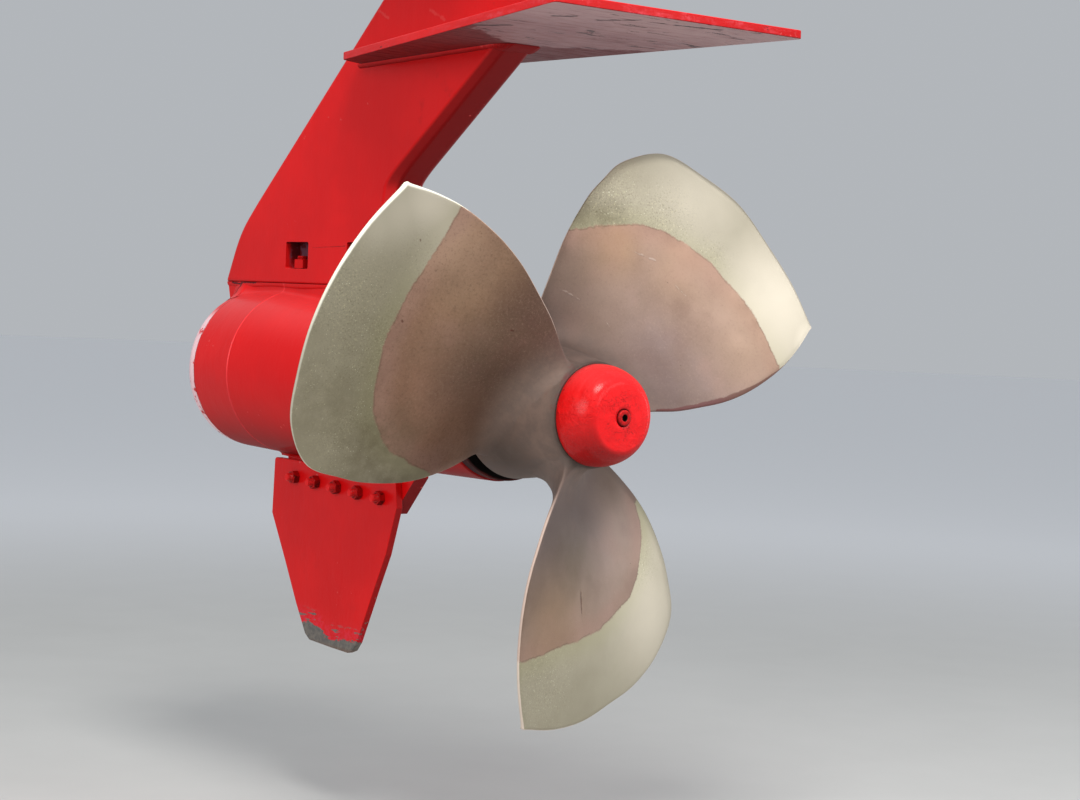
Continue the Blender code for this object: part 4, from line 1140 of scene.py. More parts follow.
# Tones laid on the blades, among them painted light and shade: blade, radius share, angle, reach in metres,
# strength.
# Painted light: patches where the blades are painted paler.
PAINTED_LIGHT_AREAS = (
    (0, 0.90, -1.0, 0.07, 0.60), (0, 0.80, 0.0, 0.07, 0.45), (0, 0.97, 8.0, 0.05, 0.35),
    (0, 0.93, 3.0, 0.07, 0.45), (0, 0.70, 0.0, 0.08, 0.70), (1, 0.90, 8.0, 0.13, 0.75),
    (1, 0.90, 35.0, 0.12, 0.46), (1, 0.97, -2.0, 0.06, 0.8), (1, 0.72, 2.0, 0.07, 0.45),
    (1, 0.35, 43.0, 0.06, 0.32), (2, 0.86, 46.0, 0.12, 0.46), (2, 0.72, 54.0, 0.07, 0.20),
)
# Stains, and painted shade: patches where the blades are painted darker.
STAIN_AND_SHADE_AREAS = (
    (0, 0.70, 54.0, 0.08, 0.62), (0, 0.87, 40.0, 0.12, 0.36), (0, 0.40, 20.0, 0.10, 0.30),
    (0, 0.66, 64.0, 0.07, 0.62), (1, 0.655, 62.0, 0.040, 0.48), (1, 0.655, 55.0, 0.034, 0.52),
    (1, 0.52, 60.0, 0.04, 0.25), (2, 0.47, 14.0, 0.07, 0.45),
)
SMUDGE_AREAS = (
    (0, 0.29, -7.0, 0.030, 0.42), (0, 0.40, 29.6, 0.014, 0.50), (0, 0.34, 28.8, 0.016, 0.50),
    (0, 0.18, 20.0, 0.022, 0.45),
)
SPECKLE_AREAS = (
    (0, 0.80, 30.0, 0.09, 0.8), (0, 0.76, 48.0, 0.08, 0.8), (0, 0.80, 8.0, 0.05, 0.4),
    (0, 0.91, 22.0, 0.08, 0.8), (0, 0.90, 38.0, 0.07, 0.6), (1, 0.70, 56.0, 0.08, 1.0),
    (1, 0.76, 40.0, 0.06, 0.9), (1, 0.77, 25.0, 0.04, 0.7), (2, 0.86, 4.0, 0.08, 0.5),
    (2, 0.66, 52.0, 0.04, 0.6),
)
GOLDEN_AREAS = (
    (0, 0.62, 4.0, 0.08, 0.5), (0, 0.58, -6.0, 0.06, 0.5), (1, 0.58, 50.0, 0.05, 0.8),
    (1, 0.64, 30.0, 0.06, 0.35), (2, 0.64, 3.0, 0.09, 0.85),
)


def tone(flat, blade, areas):
    total = np.zeros(len(flat))
    for which, share, degrees, reach, strength in areas:
        near = np.exp(-((np.linalg.norm(flat - flat_point(share, degrees), axis=1) / reach) ** 2))
        total = np.maximum(total, np.where(blade == which, near * strength, 0.0))
    return total


def mark_casting(mesh):
    """Store where each point lies on its blade, for the bronze material."""
    count = len(mesh.vertices)
    place = np.empty(count * 3)
    mesh.vertices.foreach_get("co", place)
    place = place.reshape(-1, 3) - np.array(SHAFT)
    share = np.hypot(place[:, 0], place[:, 2]) / TIP_RADIUS
    theta = np.degrees(np.arctan2(place[:, 2], place[:, 0]))
    turns = FIRST_BLADE_ANGLE - 120.0 * np.arange(3)[:, None]
    from_middle = (theta - turns - BLADE_MIDDLE + 180.0) % 360.0 - 180.0
    blade = np.argmin(np.abs(from_middle), axis=0)
    degrees = np.take_along_axis(from_middle, blade[None, :], 0)[0] + BLADE_MIDDLE
    flat = flat_point(share, degrees)
    zone = np.zeros(count)
    edge = np.zeros(count)
    shares = np.linspace(0.0, 1.0, 120)
    for k in range(3):
        own = blade == k
        line = np.array(BAND_LINES[k])
        where = np.interp(degrees[own], line[:, 1], line[:, 0])
        far = line_distance(flat[own], flat_point(line[:, 0], line[:, 1]))
        zone[own] = np.where(share[own] > where, far, -far)
        outline = np.concatenate([edge_rows(TRAILING_EDGE, shares),
                                  edge_rows(trimmed_edge(BLADE_TRIMS[k]), shares)[::-1]])
        outline = flat_point(outline[:, 0] / TIP_RADIUS, np.degrees(outline[:, 1]))
        edge[own] = line_distance(flat[own], outline)
    store(mesh, "lay", zone, edge, share)

    dim = np.array(BLADE_DIM)[blade]
    lit = np.interp(degrees, (22.0, 45.0), (0.24, 0.04))
    dim = np.where(blade == 2, dim + lit * np.clip(1 + zone / 0.10, 0.0, 1.0), dim)
    white_rim = np.where((blade == 0) & (zone > -0.01), 1.0, np.where(zone > 0.0, 0.30, 0.1))
    store(mesh, "mark", np.array(BLADE_COOL)[blade], dim, white_rim)

    bright_rim = np.interp(degrees, *zip(*BRIGHT_RIM_WIDTHS))
    rim_width = np.select([blade == 0, (blade == 2) & (degrees < 0.0)],
                          [bright_rim, 0.0023 + 0 * share], 0.0015)
    rim_share = np.clip((share - 0.27) / 0.10, 0.0, 1.0)
    rim_share = rim_share * np.where(blade == 0, np.interp(degrees, (16.0, 34.0), (1.0, 0.35)), 1.0)
    store(mesh, "rim", rim_width, rim_share, 0 * share)

    under_edge = (blade == 1) & (degrees < -1.0) & (share < 0.86) & (share > 0.26)
    strip = np.interp(share, *zip(*RED_STRIP_WIDTHS))
    paint = np.where(under_edge, np.clip(1.7 - edge / strip, 0.0, 1.0), 0.0)
    behind_cap = place[:, 1] - HUB_AFT_Y
    above = np.clip((place[:, 2] - place[:, 0]) / HUB_AFT_RADIUS, 0.0, 1.0)
    near_axis = np.clip((0.25 - share) / 0.05, 0.0, 1.0)
    paint = np.maximum(paint, 0.6 * near_axis * above * np.exp(-(behind_cap / 0.020) ** 2))
    paint = np.maximum(paint, tone(flat, blade, SMUDGE_AREAS))
    dark = np.where((blade == 1) & (zone < 0.0), 0.0, tone(flat, blade, STAIN_AND_SHADE_AREAS))
    store(mesh, "tone", tone(flat, blade, PAINTED_LIGHT_AREAS), dark, paint)

    soot_and_shadow = 0.7 * near_axis * np.exp(-(behind_cap / 0.006) ** 2)
    # Painted shadow of the first blade on the hub, between the first and third blades.
    between = (theta - FIRST_BLADE_ANGLE - 85.0 + 180.0) % 360.0 - 180.0
    forward = np.clip((behind_cap - 0.05) / 0.10, 0.0, 1.0)
    soot_and_shadow = np.maximum(soot_and_shadow, near_axis * forward * np.exp(-(between / 28.0) ** 2))
    # Stored as grime: speckle, golden tone, and soot with the painted shadow.
    store(mesh, "grime", tone(flat, blade, SPECKLE_AREAS), tone(flat, blade, GOLDEN_AREAS), soot_and_shadow)


def add_casting():
    casting = new_object("casting", hub_mesh())
    for k, trims in enumerate(BLADE_TRIMS):
        turn = math.radians(FIRST_BLADE_ANGLE - 120.0 * k)
        boolean(casting, blade_mesh(turn, trims), "UNION")
    apply(casting)
    mark_casting(casting.data)
    piece(casting, "propeller", ["propeller"], [BRONZE], 40.0)


# The hub cap

def add_cap():
    rim_y = HUB_AFT_Y - GAP
    face_y = rim_y - CAP_LENGTH
    reach = CAP_RADIUS - CAP_FACE_RADIUS
    length = CAP_LENGTH - CAP_RIM_LENGTH - CAP_DOME
    seat = PLUG_RADIUS + PLUG_SEAT_GAP
    profile = [(CAP_RADIUS - CAP_RIM_ROUNDING, rim_y), (CAP_RADIUS, rim_y - CAP_RIM_ROUNDING)]
    for angle in np.linspace(0.0, math.pi / 2, 27):
        across = max(math.cos(angle), 0.0) ** (2 / CAP_SHOULDER_POWER)
        along = math.sin(angle) ** (2 / CAP_SHOULDER_POWER)
        profile.append((CAP_FACE_RADIUS + reach * across, rim_y - CAP_RIM_LENGTH - length * along))
    for radius in (*CAP_DOME_RINGS, seat + CAP_SEAT_ROUNDING):
        sunk = [CAP_DOME * (r / CAP_FACE_RADIUS) ** CAP_DOME_POWER for r in (radius, seat)]
        profile.append((radius, face_y + sunk[0] - sunk[1]))
    profile += [(seat, face_y + CAP_SEAT_ROUNDING), (seat, face_y + PLUG_DEPTH)]
    cap = new_object("cap_shell", turned(profile, 144))
    piece(cap, "propeller", ["hub_cap"], [CAP_RED], 50.0)

    end = face_y - PLUG_PROUD
    quarter = [(1 - math.cos(a), 1 - math.sin(a)) for a in np.linspace(0.0, math.pi / 2, 6)]
    profile = [(PLUG_RADIUS, face_y + PLUG_DEPTH - GAP)]
    profile += [(PLUG_RADIUS - PLUG_ROUNDING * a, end + PLUG_ROUNDING * b) for a, b in quarter]
    profile += [(PLUG_HOLE_RADIUS + HOLE_ROUNDING * b, end + HOLE_ROUNDING * a) for a, b in quarter]
    profile.append((PLUG_HOLE_RADIUS, end + PLUG_HOLE_DEPTH))
    plug = new_object("plug_ring", turned(profile, 48))
    piece(plug, "propeller", ["cap_plug"], [PLUG_RED], 50.0)


# The leg, flange, plate and their welds

def smooth_edge(edge):
    controls = [Vector(point) for point in edge]
    return spline_points(controls, np.linspace(0.0, 1.0, 40))


FORE_CURVE = smooth_edge(LEG_FORE_EDGE)
AFT_CURVE = smooth_edge(LEG_AFT_EDGE)


def edge_y(curve, rake, z):
    top_z, top_y = curve[-1]
    if z >= top_z:
        return float(top_y - (z - top_z) * math.tan(math.radians(rake)))
    return float(np.interp(z, curve[:, 0], curve[:, 1]))


def leg_section(z, grow=0.0):
    fore = edge_y(FORE_CURVE, LEG_FORE_RAKE, z)
    aft = edge_y(AFT_CURVE, LEG_AFT_RAKE, z)
    wide = LEG_HALF_THICKNESS + grow
    narrow = wide - LEG_CHAMFER_X
    fore_tip = fore + LEG_CHAMFER_Y + grow
    aft_tip = aft - LEG_CHAMFER_Y - grow
    half = [(narrow, aft_tip), (wide, aft), (wide, fore), (narrow, fore_tip)]
    outline = half + [(-x, y) for x, y in reversed(half)]
    return [Vector((x, y, z)) for x, y in outline]


def rounded_outline(corners, radius, steps):
    points = []
    count = len(corners)
    for k in range(count):
        corner = Vector(corners[k])
        before = (Vector(corners[k - 1]) - corner).normalized()
        after = (Vector(corners[(k + 1) % count]) - corner).normalized()
        half_angle = before.angle(after) / 2
        if half_angle > math.radians(89.0):
            points.append(tuple(corner))
            continue
        reach = radius / math.tan(half_angle)
        centre = corner + (before + after).normalized() * radius / math.sin(half_angle)
        start = corner + before * reach - centre
        end = corner + after * reach - centre
        for step in range(steps + 1):
            spoke = start.lerp(end, step / steps)
            points.append(tuple(centre + spoke.normalized() * radius))
    return points


def add_leg():
    levels = (*np.linspace(LEG_FOOT_Z, LEG_BEND_TOP_Z, 30), *LEG_UPPER_LEVELS, LEG_TOP_Z)
    leg = new_object("leg_shell", loft([leg_section(z) for z in levels]))
    round_edges(leg, LEG_ROUNDING, 3, 25.0)
    floor, roof = POCKET_FLOOR_Z, POCKET_FLOOR_Z + POCKET_HEIGHT
    for centre in POCKET_CENTRES_Y:
        aft, fore = centre - POCKET_LENGTH / 2, centre + POCKET_LENGTH / 2
        outline = rounded_outline(((aft, floor), (fore, floor), (fore, roof), (aft, roof)), POCKET_CORNER, 4)
        for side in (-1, 1):
            x_low = side * (LEG_HALF_THICKNESS - POCKET_DEPTH)
            x_high = side * (LEG_HALF_THICKNESS + POCKET_DEPTH)
            boolean(leg, slab(outline, x_low, x_high), "DIFFERENCE")
    round_edges(leg, POCKET_ROUNDING, 2, 50.0)
    piece(leg, "leg", ["drive_leg"], [LEG_RED], 30.0, even=True)
    for k, centre in enumerate(POCKET_CENTRES_Y):
        for side, tag in ((-1, "port"), (1, "starboard")):
            x = side * (LEG_HALF_THICKNESS - POCKET_NUT_INSET - POCKET_NUT_ACROSS / 2)
            base = Vector((x, centre + POCKET_NUT_SHIFT, POCKET_FLOOR_Z + GAP))
            nut = new_object(f"pocket_nut_shell_{tag}_{k + 1}", solids_mesh(
                nut_rings(base, UP, FORE, POCKET_NUT_ACROSS, POCKET_NUT_HEIGHT, STUD_RADIUS - STUD_GRIP),
                thread_rod(base, UP, FORE, STUD_RADIUS - GAP, STUD_FOOT, POCKET_NUT_HEIGHT + STUD_PROUD)))
            piece(nut, "leg", [f"pocket_nut_{tag}_{k + 1}"], [POCKET_RED], 30.0)


def nut_rings(base, axis, side, across, height, bore):
    """A hexagon nut with chamfered corners and a bore, as rings to be joined in a circle."""
    other = axis.cross(side)
    flat = across / 2
    chamfer = flat * NUT_CHAMFER_SHARE
    turns = [2 * math.pi * i / NUT_SIDES for i in range(NUT_SIDES)]
    hexagon = []
    for t in turns:
        off = (t + math.pi / 6) % (math.pi / 3) - math.pi / 6
        hexagon.append(flat / math.cos(off))
    low = [max(r - chamfer, 0.0) * NUT_CHAMFER_SLOPE for r in hexagon]
    high = [height - z for z in low]
    inner = [min(r, chamfer) for r in hexagon]
    wide = bore + NUT_BORE_CHAMFER
    rings = []
    for radii, levels in (
            (inner, 0.0), (hexagon, low), (hexagon, high), (inner, height), (wide, height),
            (bore, height - NUT_BORE_CHAMFER), (bore, NUT_BORE_CHAMFER), (wide, 0.0)):
        radii = np.broadcast_to(radii, NUT_SIDES).tolist()
        levels = np.broadcast_to(levels, NUT_SIDES).tolist()
        rings.append([base + axis * z + (side * math.cos(t) + other * math.sin(t)) * r
                      for t, r, z in zip(turns, radii, levels)])
    return rings, True


def thread_rod(base, axis, side, radius, start, end):
    """A rod with a turned thread, from start to end along its axis, as rings with capped ends."""
    other = axis.cross(side)
    steps = max(int((end - start) / SKEG_THREAD_PITCH * THREAD_STEPS), 8)
    rings = []
    for k in range(steps + 1):
        z = start + (end - start) * k / steps
        left = min((end - z) / THREAD_END_LENGTH, 1.0)
        ring = []
        for i in range(ROD_SIDES):
            turn = 2 * math.pi * i / ROD_SIDES
            wave = abs(((z / SKEG_THREAD_PITCH - i / ROD_SIDES) % 1.0) * 2 - 1)
            r = radius - THREAD_DEPTH * wave - THREAD_END_DROP * (1 - left)
            ring.append(base + axis * z + (side * math.cos(turn) + other * math.sin(turn)) * r)
        rings.append(ring)
    return rings, False


def plate_point(x, y, height):
    z = PLATE_UNDERSIDE_Z + y * math.tan(PLATE_TILT) + height * math.cos(PLATE_TILT)
    return Vector((x, y - height * math.sin(PLATE_TILT), z))


def plate_section(height, grow):
    points = []
    for k, start in enumerate(leg_section(PLATE_UNDERSIDE_Z, grow)):
        point = start
        for _ in range(8):
            z = PLATE_UNDERSIDE_Z + point.y * math.tan(PLATE_TILT) + height / math.cos(PLATE_TILT)
            point = leg_section(z, grow)[k]
        points.append(point)
    return points


def add_plate():
    corners = (
        (PLATE_AFT_HALF_WIDTH, PLATE_AFT_Y), (PLATE_FORE_HALF_WIDTH, PLATE_FORE_Y),
        (-PLATE_FORE_HALF_WIDTH, PLATE_FORE_Y), (-PLATE_AFT_HALF_WIDTH, PLATE_AFT_Y),
    )
    rounded = rounded_outline(corners, PLATE_CORNER, 8)
    half = len(rounded) // 2
    inner = LEG_HALF_THICKNESS - LEG_CHAMFER_X
    outline = rounded[:half] + [(inner, PLATE_ARM_END_Y), (-inner, PLATE_ARM_END_Y)] + rounded[half:]
    rings = [[plate_point(x, y, height) for x, y in outline] for height in (0.0, PLATE_THICKNESS)]
    plate = new_object("plate_shell", loft(rings))
    reach = (-PLATE_THICKNESS, 2 * PLATE_THICKNESS)
    boolean(plate, loft([plate_section(height, GAP) for height in reach]), "DIFFERENCE")
    round_edges(plate, PLATE_ROUNDING, 3, 40.0)
    piece(plate, "leg", ["cavitation_plate"], [PLATE_RED, UNDERSIDE], 35.0, even=True)
    for face in plate.data.polygons:
        if face.normal.z < -0.9:
            face.material_index = 1


def bead(stations, ripple, closed):
    """A weld bead: each station gives its corner, two directions and its two legs."""
    rings = []
    travelled = 0.0
    last = stations[0][0]
    for k, (corner, out, down, wide, deep) in enumerate(stations):
        travelled += (corner - last).length
        last = corner
        drift = RIPPLE_DRIFT[0] * math.sin(k * RIPPLE_DRIFT[1])
        wave = 1 + ripple * math.sin(travelled * 2 * math.pi / RIPPLE_PITCH + drift)
        wave += 0.5 * ripple * math.sin(travelled * SLOW_RIPPLE[0] + SLOW_RIPPLE[1])
        ring = [corner - (out + down) * WELD_OVERLAP]
        for s in np.linspace(0.0, 1.0, 7):
            bulge = 1 + BEAD_BULGE * math.sin(math.pi * s)
            ring.append(corner + (out * (1 - s) * wide + down * s * deep) * bulge * wave)
        rings.append(ring)
    return loft(rings, closed)


def walk(points, closed, step=0.0013):
    """Evenly spaced stations on a polyline: (leg number, share of it, point)."""
    pairs = list(zip(points, points[1:]))
    if closed:
        pairs.append((points[-1], points[0]))
    found = []
    for k, (a, b) in enumerate(pairs):
        count = max(int((b - a).length / step), 1)
        for i in range(count):
            found.append((k, i / count, a.lerp(b, i / count)))
    return found


def walk_outward(section):
    """Stations round a level outline with the way out: (leg number, share of it, point, out)."""
    middle = sum(section, Vector()) / len(section)
    found = []
    for k, share, point in walk(section, True):
        along = section[(k + 1) % len(section)] - section[k]
        out = along.cross(UP).normalized()
        if out.dot(point - middle) < 0:
            out = -out
        found.append((k, share, point, out))
    return found


def add_welds():
    section = leg_section(LEG_TOP_Z, GAP)
    lower = leg_section(LEG_TOP_Z - WELD_LEG, GAP)
    size = WELD_LEG * WELD_FILL
    stations = []
    for k, share, point, out in walk_outward(section):
        below = lower[k].lerp(lower[(k + 1) % len(lower)], share)
        stations.append((point, out, (below - point) / WELD_LEG, size, size))
    weld = new_object("flange_bead", bead(stations, 0.06, True))
    piece(weld, "leg", ["flange_weld"], [WELD_RED], 60.0)

    top = plate_section(-GAP, GAP)
    start = plate_point(LEG_HALF_THICKNESS + GAP, PLATE_ARM_END_Y, -GAP)
    end = Vector((-start.x, start.y, start.z))
    slope = Vector((0, math.tan(math.radians(LEG_AFT_RAKE)), -1.0)).normalized()
    tilted = Vector((0, 0.5, -1)).normalized()
    path = (
        (start, STARBOARD, -UP, SIDE_WELD), (top[1], STARBOARD, tilted, SIDE_WELD),
        (top[0], -FORE, slope, AFT_WELD), (top[7], -FORE, slope, AFT_WELD),
        (top[6], -STARBOARD, tilted, SIDE_WELD), (end, -STARBOARD, -UP, SIDE_WELD),
    )
    stations = []
    for k, share, point in walk([corner for corner, *_ in path], False):
        (_, out, down, size), (_, next_out, next_down, next_size) = path[k:k + 2]
        size = (size + (next_size - size) * share) * WELD_FILL
        out = out.lerp(next_out, share).normalized()
        down = down.lerp(next_down, share).normalized()
        stations.append((point, out, down, size, size))
    weld = new_object("plate_bead", bead(stations, 0.05, False))
    piece(weld, "leg", ["plate_weld"], [WELD_RED], 60.0)


def add_flange():
    low = LEG_TOP_Z + GAP
    high = low + FLANGE_THICKNESS
    fore = -SHAFT.y + FLANGE_LENGTH / 2
    aft = -SHAFT.y - FLANGE_LENGTH / 2
    half = FLANGE_WIDTH / 2
    outline = rounded_outline(((half, aft), (half, fore), (-half, fore), (-half, aft)), FLANGE_CORNER, 12)
    flange = new_object("flange_shell", loft([[Vector((x, y, z)) for x, y in outline] for z in (low, high)]))
    for x in (FLANGE_HOLE_EDGE - half, half - FLANGE_HOLE_EDGE):
        for y in np.linspace(aft + FLANGE_HOLE_EDGE, fore - FLANGE_HOLE_EDGE, FLANGE_HOLES_A_SIDE):
            hole = [[Vector((x + a, y + b, z)) for a, b in ring_points(FLANGE_HOLE_RADIUS, 40)]
                    for z in (low - 0.01, high + 0.01)]
            boolean(flange, loft(hole), "DIFFERENCE")
    round_edges(flange, FLANGE_ROUNDING, 2, 40.0)
    piece(flange, "leg", ["mounting_flange"], [FLANGE_RED], 35.0, even=True)


# The housing, nose, fin and skeg

def nose_radius(y):
    before = min(max((y - NOSE_JOINT_Y) / (NOSE_ROUND_START_Y - NOSE_JOINT_Y), 0.0), 1.0)
    share = min(max((y - NOSE_ROUND_START_Y) / NOSE_ROUND_LENGTH, 0.0), 1.0)
    radius = POD_FORE_RADIUS - NOSE_TAPER * before
    return radius * (1 - share ** NOSE_ROUND_POWER) ** (1 / NOSE_ROUND_POWER)


def pod_size(y):
    """Radius and axis height of the housing and its nose at y."""
    aft = BEARING_CAP_AFT_Y + BEARING_CAP_LENGTH + GAP
    share = min(max((y - aft) / (NOSE_JOINT_Y - GAP - aft), 0.0), 1.0)
    if y > NOSE_JOINT_Y - GAP:
        return nose_radius(y), POD_RISE
    return POD_AFT_RADIUS + (POD_FORE_RADIUS - POD_AFT_RADIUS) * share, POD_RISE * share


def neck_outline(y_low, y_high):
    section = leg_section(LEG_FOOT_Z, -NECK_INSET)
    kept = []
    count = len(section)
    for k in range(count):
        a = section[k]
        b = section[(k + 1) % count]
        if y_low <= a.y <= y_high:
            kept.append((a.x, a.y))
        for limit in (y_low, y_high):
            if (a.y - limit) * (b.y - limit) < 0:
                kept.append((a.x, limit))
    return kept


def neck_at(x, y, z):
    """A neck outline point brought to height z: the prow slopes back on the way down."""
    drop = NECK_PROW_SLOPE * (LEG_FOOT_Z - z) / (LEG_FOOT_Z - NECK_ROOT_Z)
    return Vector((x, y - (drop if y > NOSE_ROUND_START_Y else 0.0), z))


def neck_mesh(y_low, y_high):
    kept = neck_outline(y_low, y_high)
    return loft([[neck_at(x, y, z) for x, y in kept] for z in (NECK_ROOT_Z, LEG_FOOT_Z - GAP)])


def under_pod(outline):
    return [(y, z + POD_RISE - POD_FORE_RADIUS) for y, z in outline]


def slab(outline, x_low, x_high):
    return loft([[Vector((x, y, z)) for y, z in outline] for x in (x_low, x_high)])


def add_housing():
    aft_y = BEARING_CAP_AFT_Y + BEARING_CAP_LENGTH + GAP
    fore_y = NOSE_JOINT_Y - GAP
    inner = np.linspace(aft_y + 0.02, fore_y - 0.02, 16).tolist()
    rings = []
    for y in (aft_y, aft_y + JOINT_ROUNDING, *inner, fore_y - JOINT_ROUNDING, fore_y):
        radius, lift = pod_size(y)
        trim = JOINT_ROUNDING if y in (aft_y, fore_y) else 0.0
        rings.append(circle(radius - trim, y, POD_SIDES, lift))
    pod = new_object("pod_shell", loft(rings))
    boolean(pod, neck_mesh(0.0, fore_y), "UNION")
    outline = [(min(y, fore_y), z) for y, z in under_pod(STUB_OUTLINE)]
    boolean(pod, slab(outline, -STUB_HALF_THICKNESS, STUB_HALF_THICKNESS), "UNION")
    bore = SHAFT_RADIUS + RUNNING_GAP
    ends = (POD_BORE_FROM_Y, BEARING_CAP_AFT_Y + POD_BORE_DEPTH)
    boolean(pod, turned([(bore, y) for y in ends], 64), "DIFFERENCE")
    apply(pod)
    piece(pod, "leg", ["gear_housing"], [POD_RED], 28.0)


def add_nose():
    stations = [(NOSE_JOINT_Y, JOINT_ROUNDING), (NOSE_JOINT_Y + JOINT_ROUNDING, 0.0)]
    stations += [(y, 0.0) for y in (*NOSE_MIDDLE_YS, NOSE_LIP_Y)]
    stations += [(NOSE_LIP_Y + NOSE_LIP_LENGTH, NOSE_LIP), (NOSE_LAST_Y, NOSE_LIP)]
    rings = [circle(nose_radius(y) - trim, y, POD_SIDES, POD_RISE) for y, trim in stations]
    for k in range(NOSE_RINGS + 1):
        swing = math.sin(math.pi / 2 * k / NOSE_RINGS) ** NOSE_RING_POWER
        y = NOSE_ROUND_START_Y + NOSE_ROUND_LENGTH * swing
        rings.append(circle(max(nose_radius(y) - NOSE_LIP, NOSE_TIP_RADIUS), y, POD_SIDES, POD_RISE))
    nose = new_object("nose_shell", loft(rings))
    boolean(nose, neck_mesh(NOSE_JOINT_Y, FAR_FORE), "UNION")
    apply(nose)
    piece(nose, "leg", ["nose_fairing"], [NOSE_RED], 28.0)


def add_bearing():
    """The ring and the seal between housing and hub, and the shaft's new material."""
    aft = BEARING_CAP_AFT_Y
    fore = aft + BEARING_CAP_LENGTH
    bore = SHAFT_RADIUS + RUNNING_GAP
    wide = BEARING_CAP_RADIUS
    profile = [(bore, aft), (SEAL_RADIUS + BEARING_CAP_FACE_STEP, aft),
               (wide - BEARING_CAP_AFT_ROUNDING, aft), (wide, aft + BEARING_CAP_AFT_ROUNDING),
               (wide, fore - BEARING_CAP_FORE_ROUNDING), (wide - BEARING_CAP_FORE_ROUNDING, fore),
               (bore, fore)]
    cap = new_object("bearing_ring", turned(profile, 96, closed=True))
    piece(cap, "leg", ["bearing_cap"], [PRIMER_COAT], 35.0)

    start = HUB_FORE_Y + SEAL_GAP
    end = aft - GAP
    wide = SEAL_RADIUS
    groove = wide - SEAL_GROOVE
    profile = [(bore, start + SEAL_EDGE), (bore + SEAL_GROOVE, start), (groove, start)]
    profile += [(radius, start + step) for radius, step in zip((wide, wide, groove, wide), SEAL_STEPS)]
    profile += [(wide, end), (bore, end)]
    seal = new_object("seal_lip", turned(profile, 72, closed=True))
    piece(seal, "leg", ["shaft_seal"], [RUBBER], 35.0)
    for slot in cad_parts["propeller_shaft"].material_slots:
        slot.material = STEEL


def fillet_band(outline, size, place, up):
    """A hollow corner of paint and weld round an outline where it meets the pod's top or underside."""
    count = len(outline)
    outward = []
    centre = sum((Vector(p) for p in outline), Vector((0, 0))) / count
    for k in range(count):
        a, b, c = (Vector(outline[(k + i) % count]) for i in (-1, 0, 1))
        one = Vector(((b - a).y, -(b - a).x)).normalized()
        two = Vector(((c - b).y, -(c - b).x)).normalized()
        out = (one + two).normalized()
        outward.append(out / max(out.dot(one), LEAST_CORNER_SHARE))
    turning = sum((Vector(p) - centre).dot(o) for p, o in zip(outline, outward))
    sign = 1 if turning > 0 else -1
    spread = [(-FILLET_ROOT, -FILLET_SINK, 0.0, 0.0)]
    for k in range(7):
        angle = math.pi / 2 * k / 6
        spread.append((0.0, 0.0, 1 - math.sin(angle), 1 - math.cos(angle)))
    spread.append((-FILLET_ROOT, 0.0, 0.0, 1.0))
    rings = []
    for out_by, rise_by, wide, high in spread:
        ring = []
        for (x, y), normal in zip(outline, outward):
            out = (out_by + wide * size(y)) * sign
            rise = up * (rise_by + high * size(y))
            z = pod_surface(x, y, up)
            for _ in range(3):
                base = place(x, y, z + rise)
                px = base.x + normal.x * out
                py = base.y + normal.y * out
                z = pod_surface(px, py, up)
            ring.append(Vector((px, py, z + rise)))
        rings.append(ring)
    return loft(rings, closed=True)


def dense_outline(points, step):
    found = []
    for _, _, point in walk([Vector((x, y, 0)) for x, y in points], True, step):
        found.append((point.x, point.y))
    return found


def pod_surface(x, y, up):
    """Height of the pod's top, or of its underside where up is -1."""
    radius, lift = pod_size(y)
    return lift + up * math.sqrt(max(radius ** 2 - x ** 2, 0.0))


def neck_fillet_size(y):
    """The hollow corner round the neck grows towards the prow."""
    share = min(max((y - PROW_FILLET_FROM_Y) / PROW_FILLET_LENGTH, 0.0), 1.0)
    return NECK_FILLET + PROW_FILLET * share * share * (3 - 2 * share)


def add_fillets():
    outline = dense_outline([(p.x, p.y) for p in leg_section(LEG_FOOT_Z, -NECK_INSET)], OUTLINE_STEP)
    band = new_object("neck_fillet", fillet_band(outline, neck_fillet_size, neck_at, 1))
    piece(band, "leg", [], [POD_RED, NOSE_RED], 60.0)
    for face in band.data.polygons:
        if face.center.y > SHAFT.y + NOSE_JOINT_Y:
            face.material_index = 1

    section = [neck_at(x, y, LEG_FOOT_Z - GAP) for x, y in neck_outline(0.0, FAR_FORE)]
    stations = []
    for _, _, point, out in walk_outward(section):
        fill = 0.5 + 0.5 * math.sin(point.y * SEALANT_WAVE[0] + SEALANT_WAVE[1])
        wide, deep = [least + added * fill for least, added in (SEALANT_OUT, SEALANT_DOWN)]
        stations.append((point, out, -UP, wide, deep))
    seal = new_object("joint_seal", bead(stations, 0.0, True))
    piece(seal, "leg", [], [NOSE_RED], 60.0)

    half = STUB_HALF_THICKNESS
    aft = STUB_OUTLINE[0][0]
    fore = STUB_OUTLINE[-1][0]
    outline = dense_outline(((half, aft), (half, fore), (-half, fore), (-half, aft)), OUTLINE_STEP)
    band = new_object("fin_fillet", fillet_band(
        outline, lambda y: FIN_FILLET, lambda x, y, z: Vector((x, y, z)), -1))
    piece(band, "leg", [], [POD_RED], 60.0)


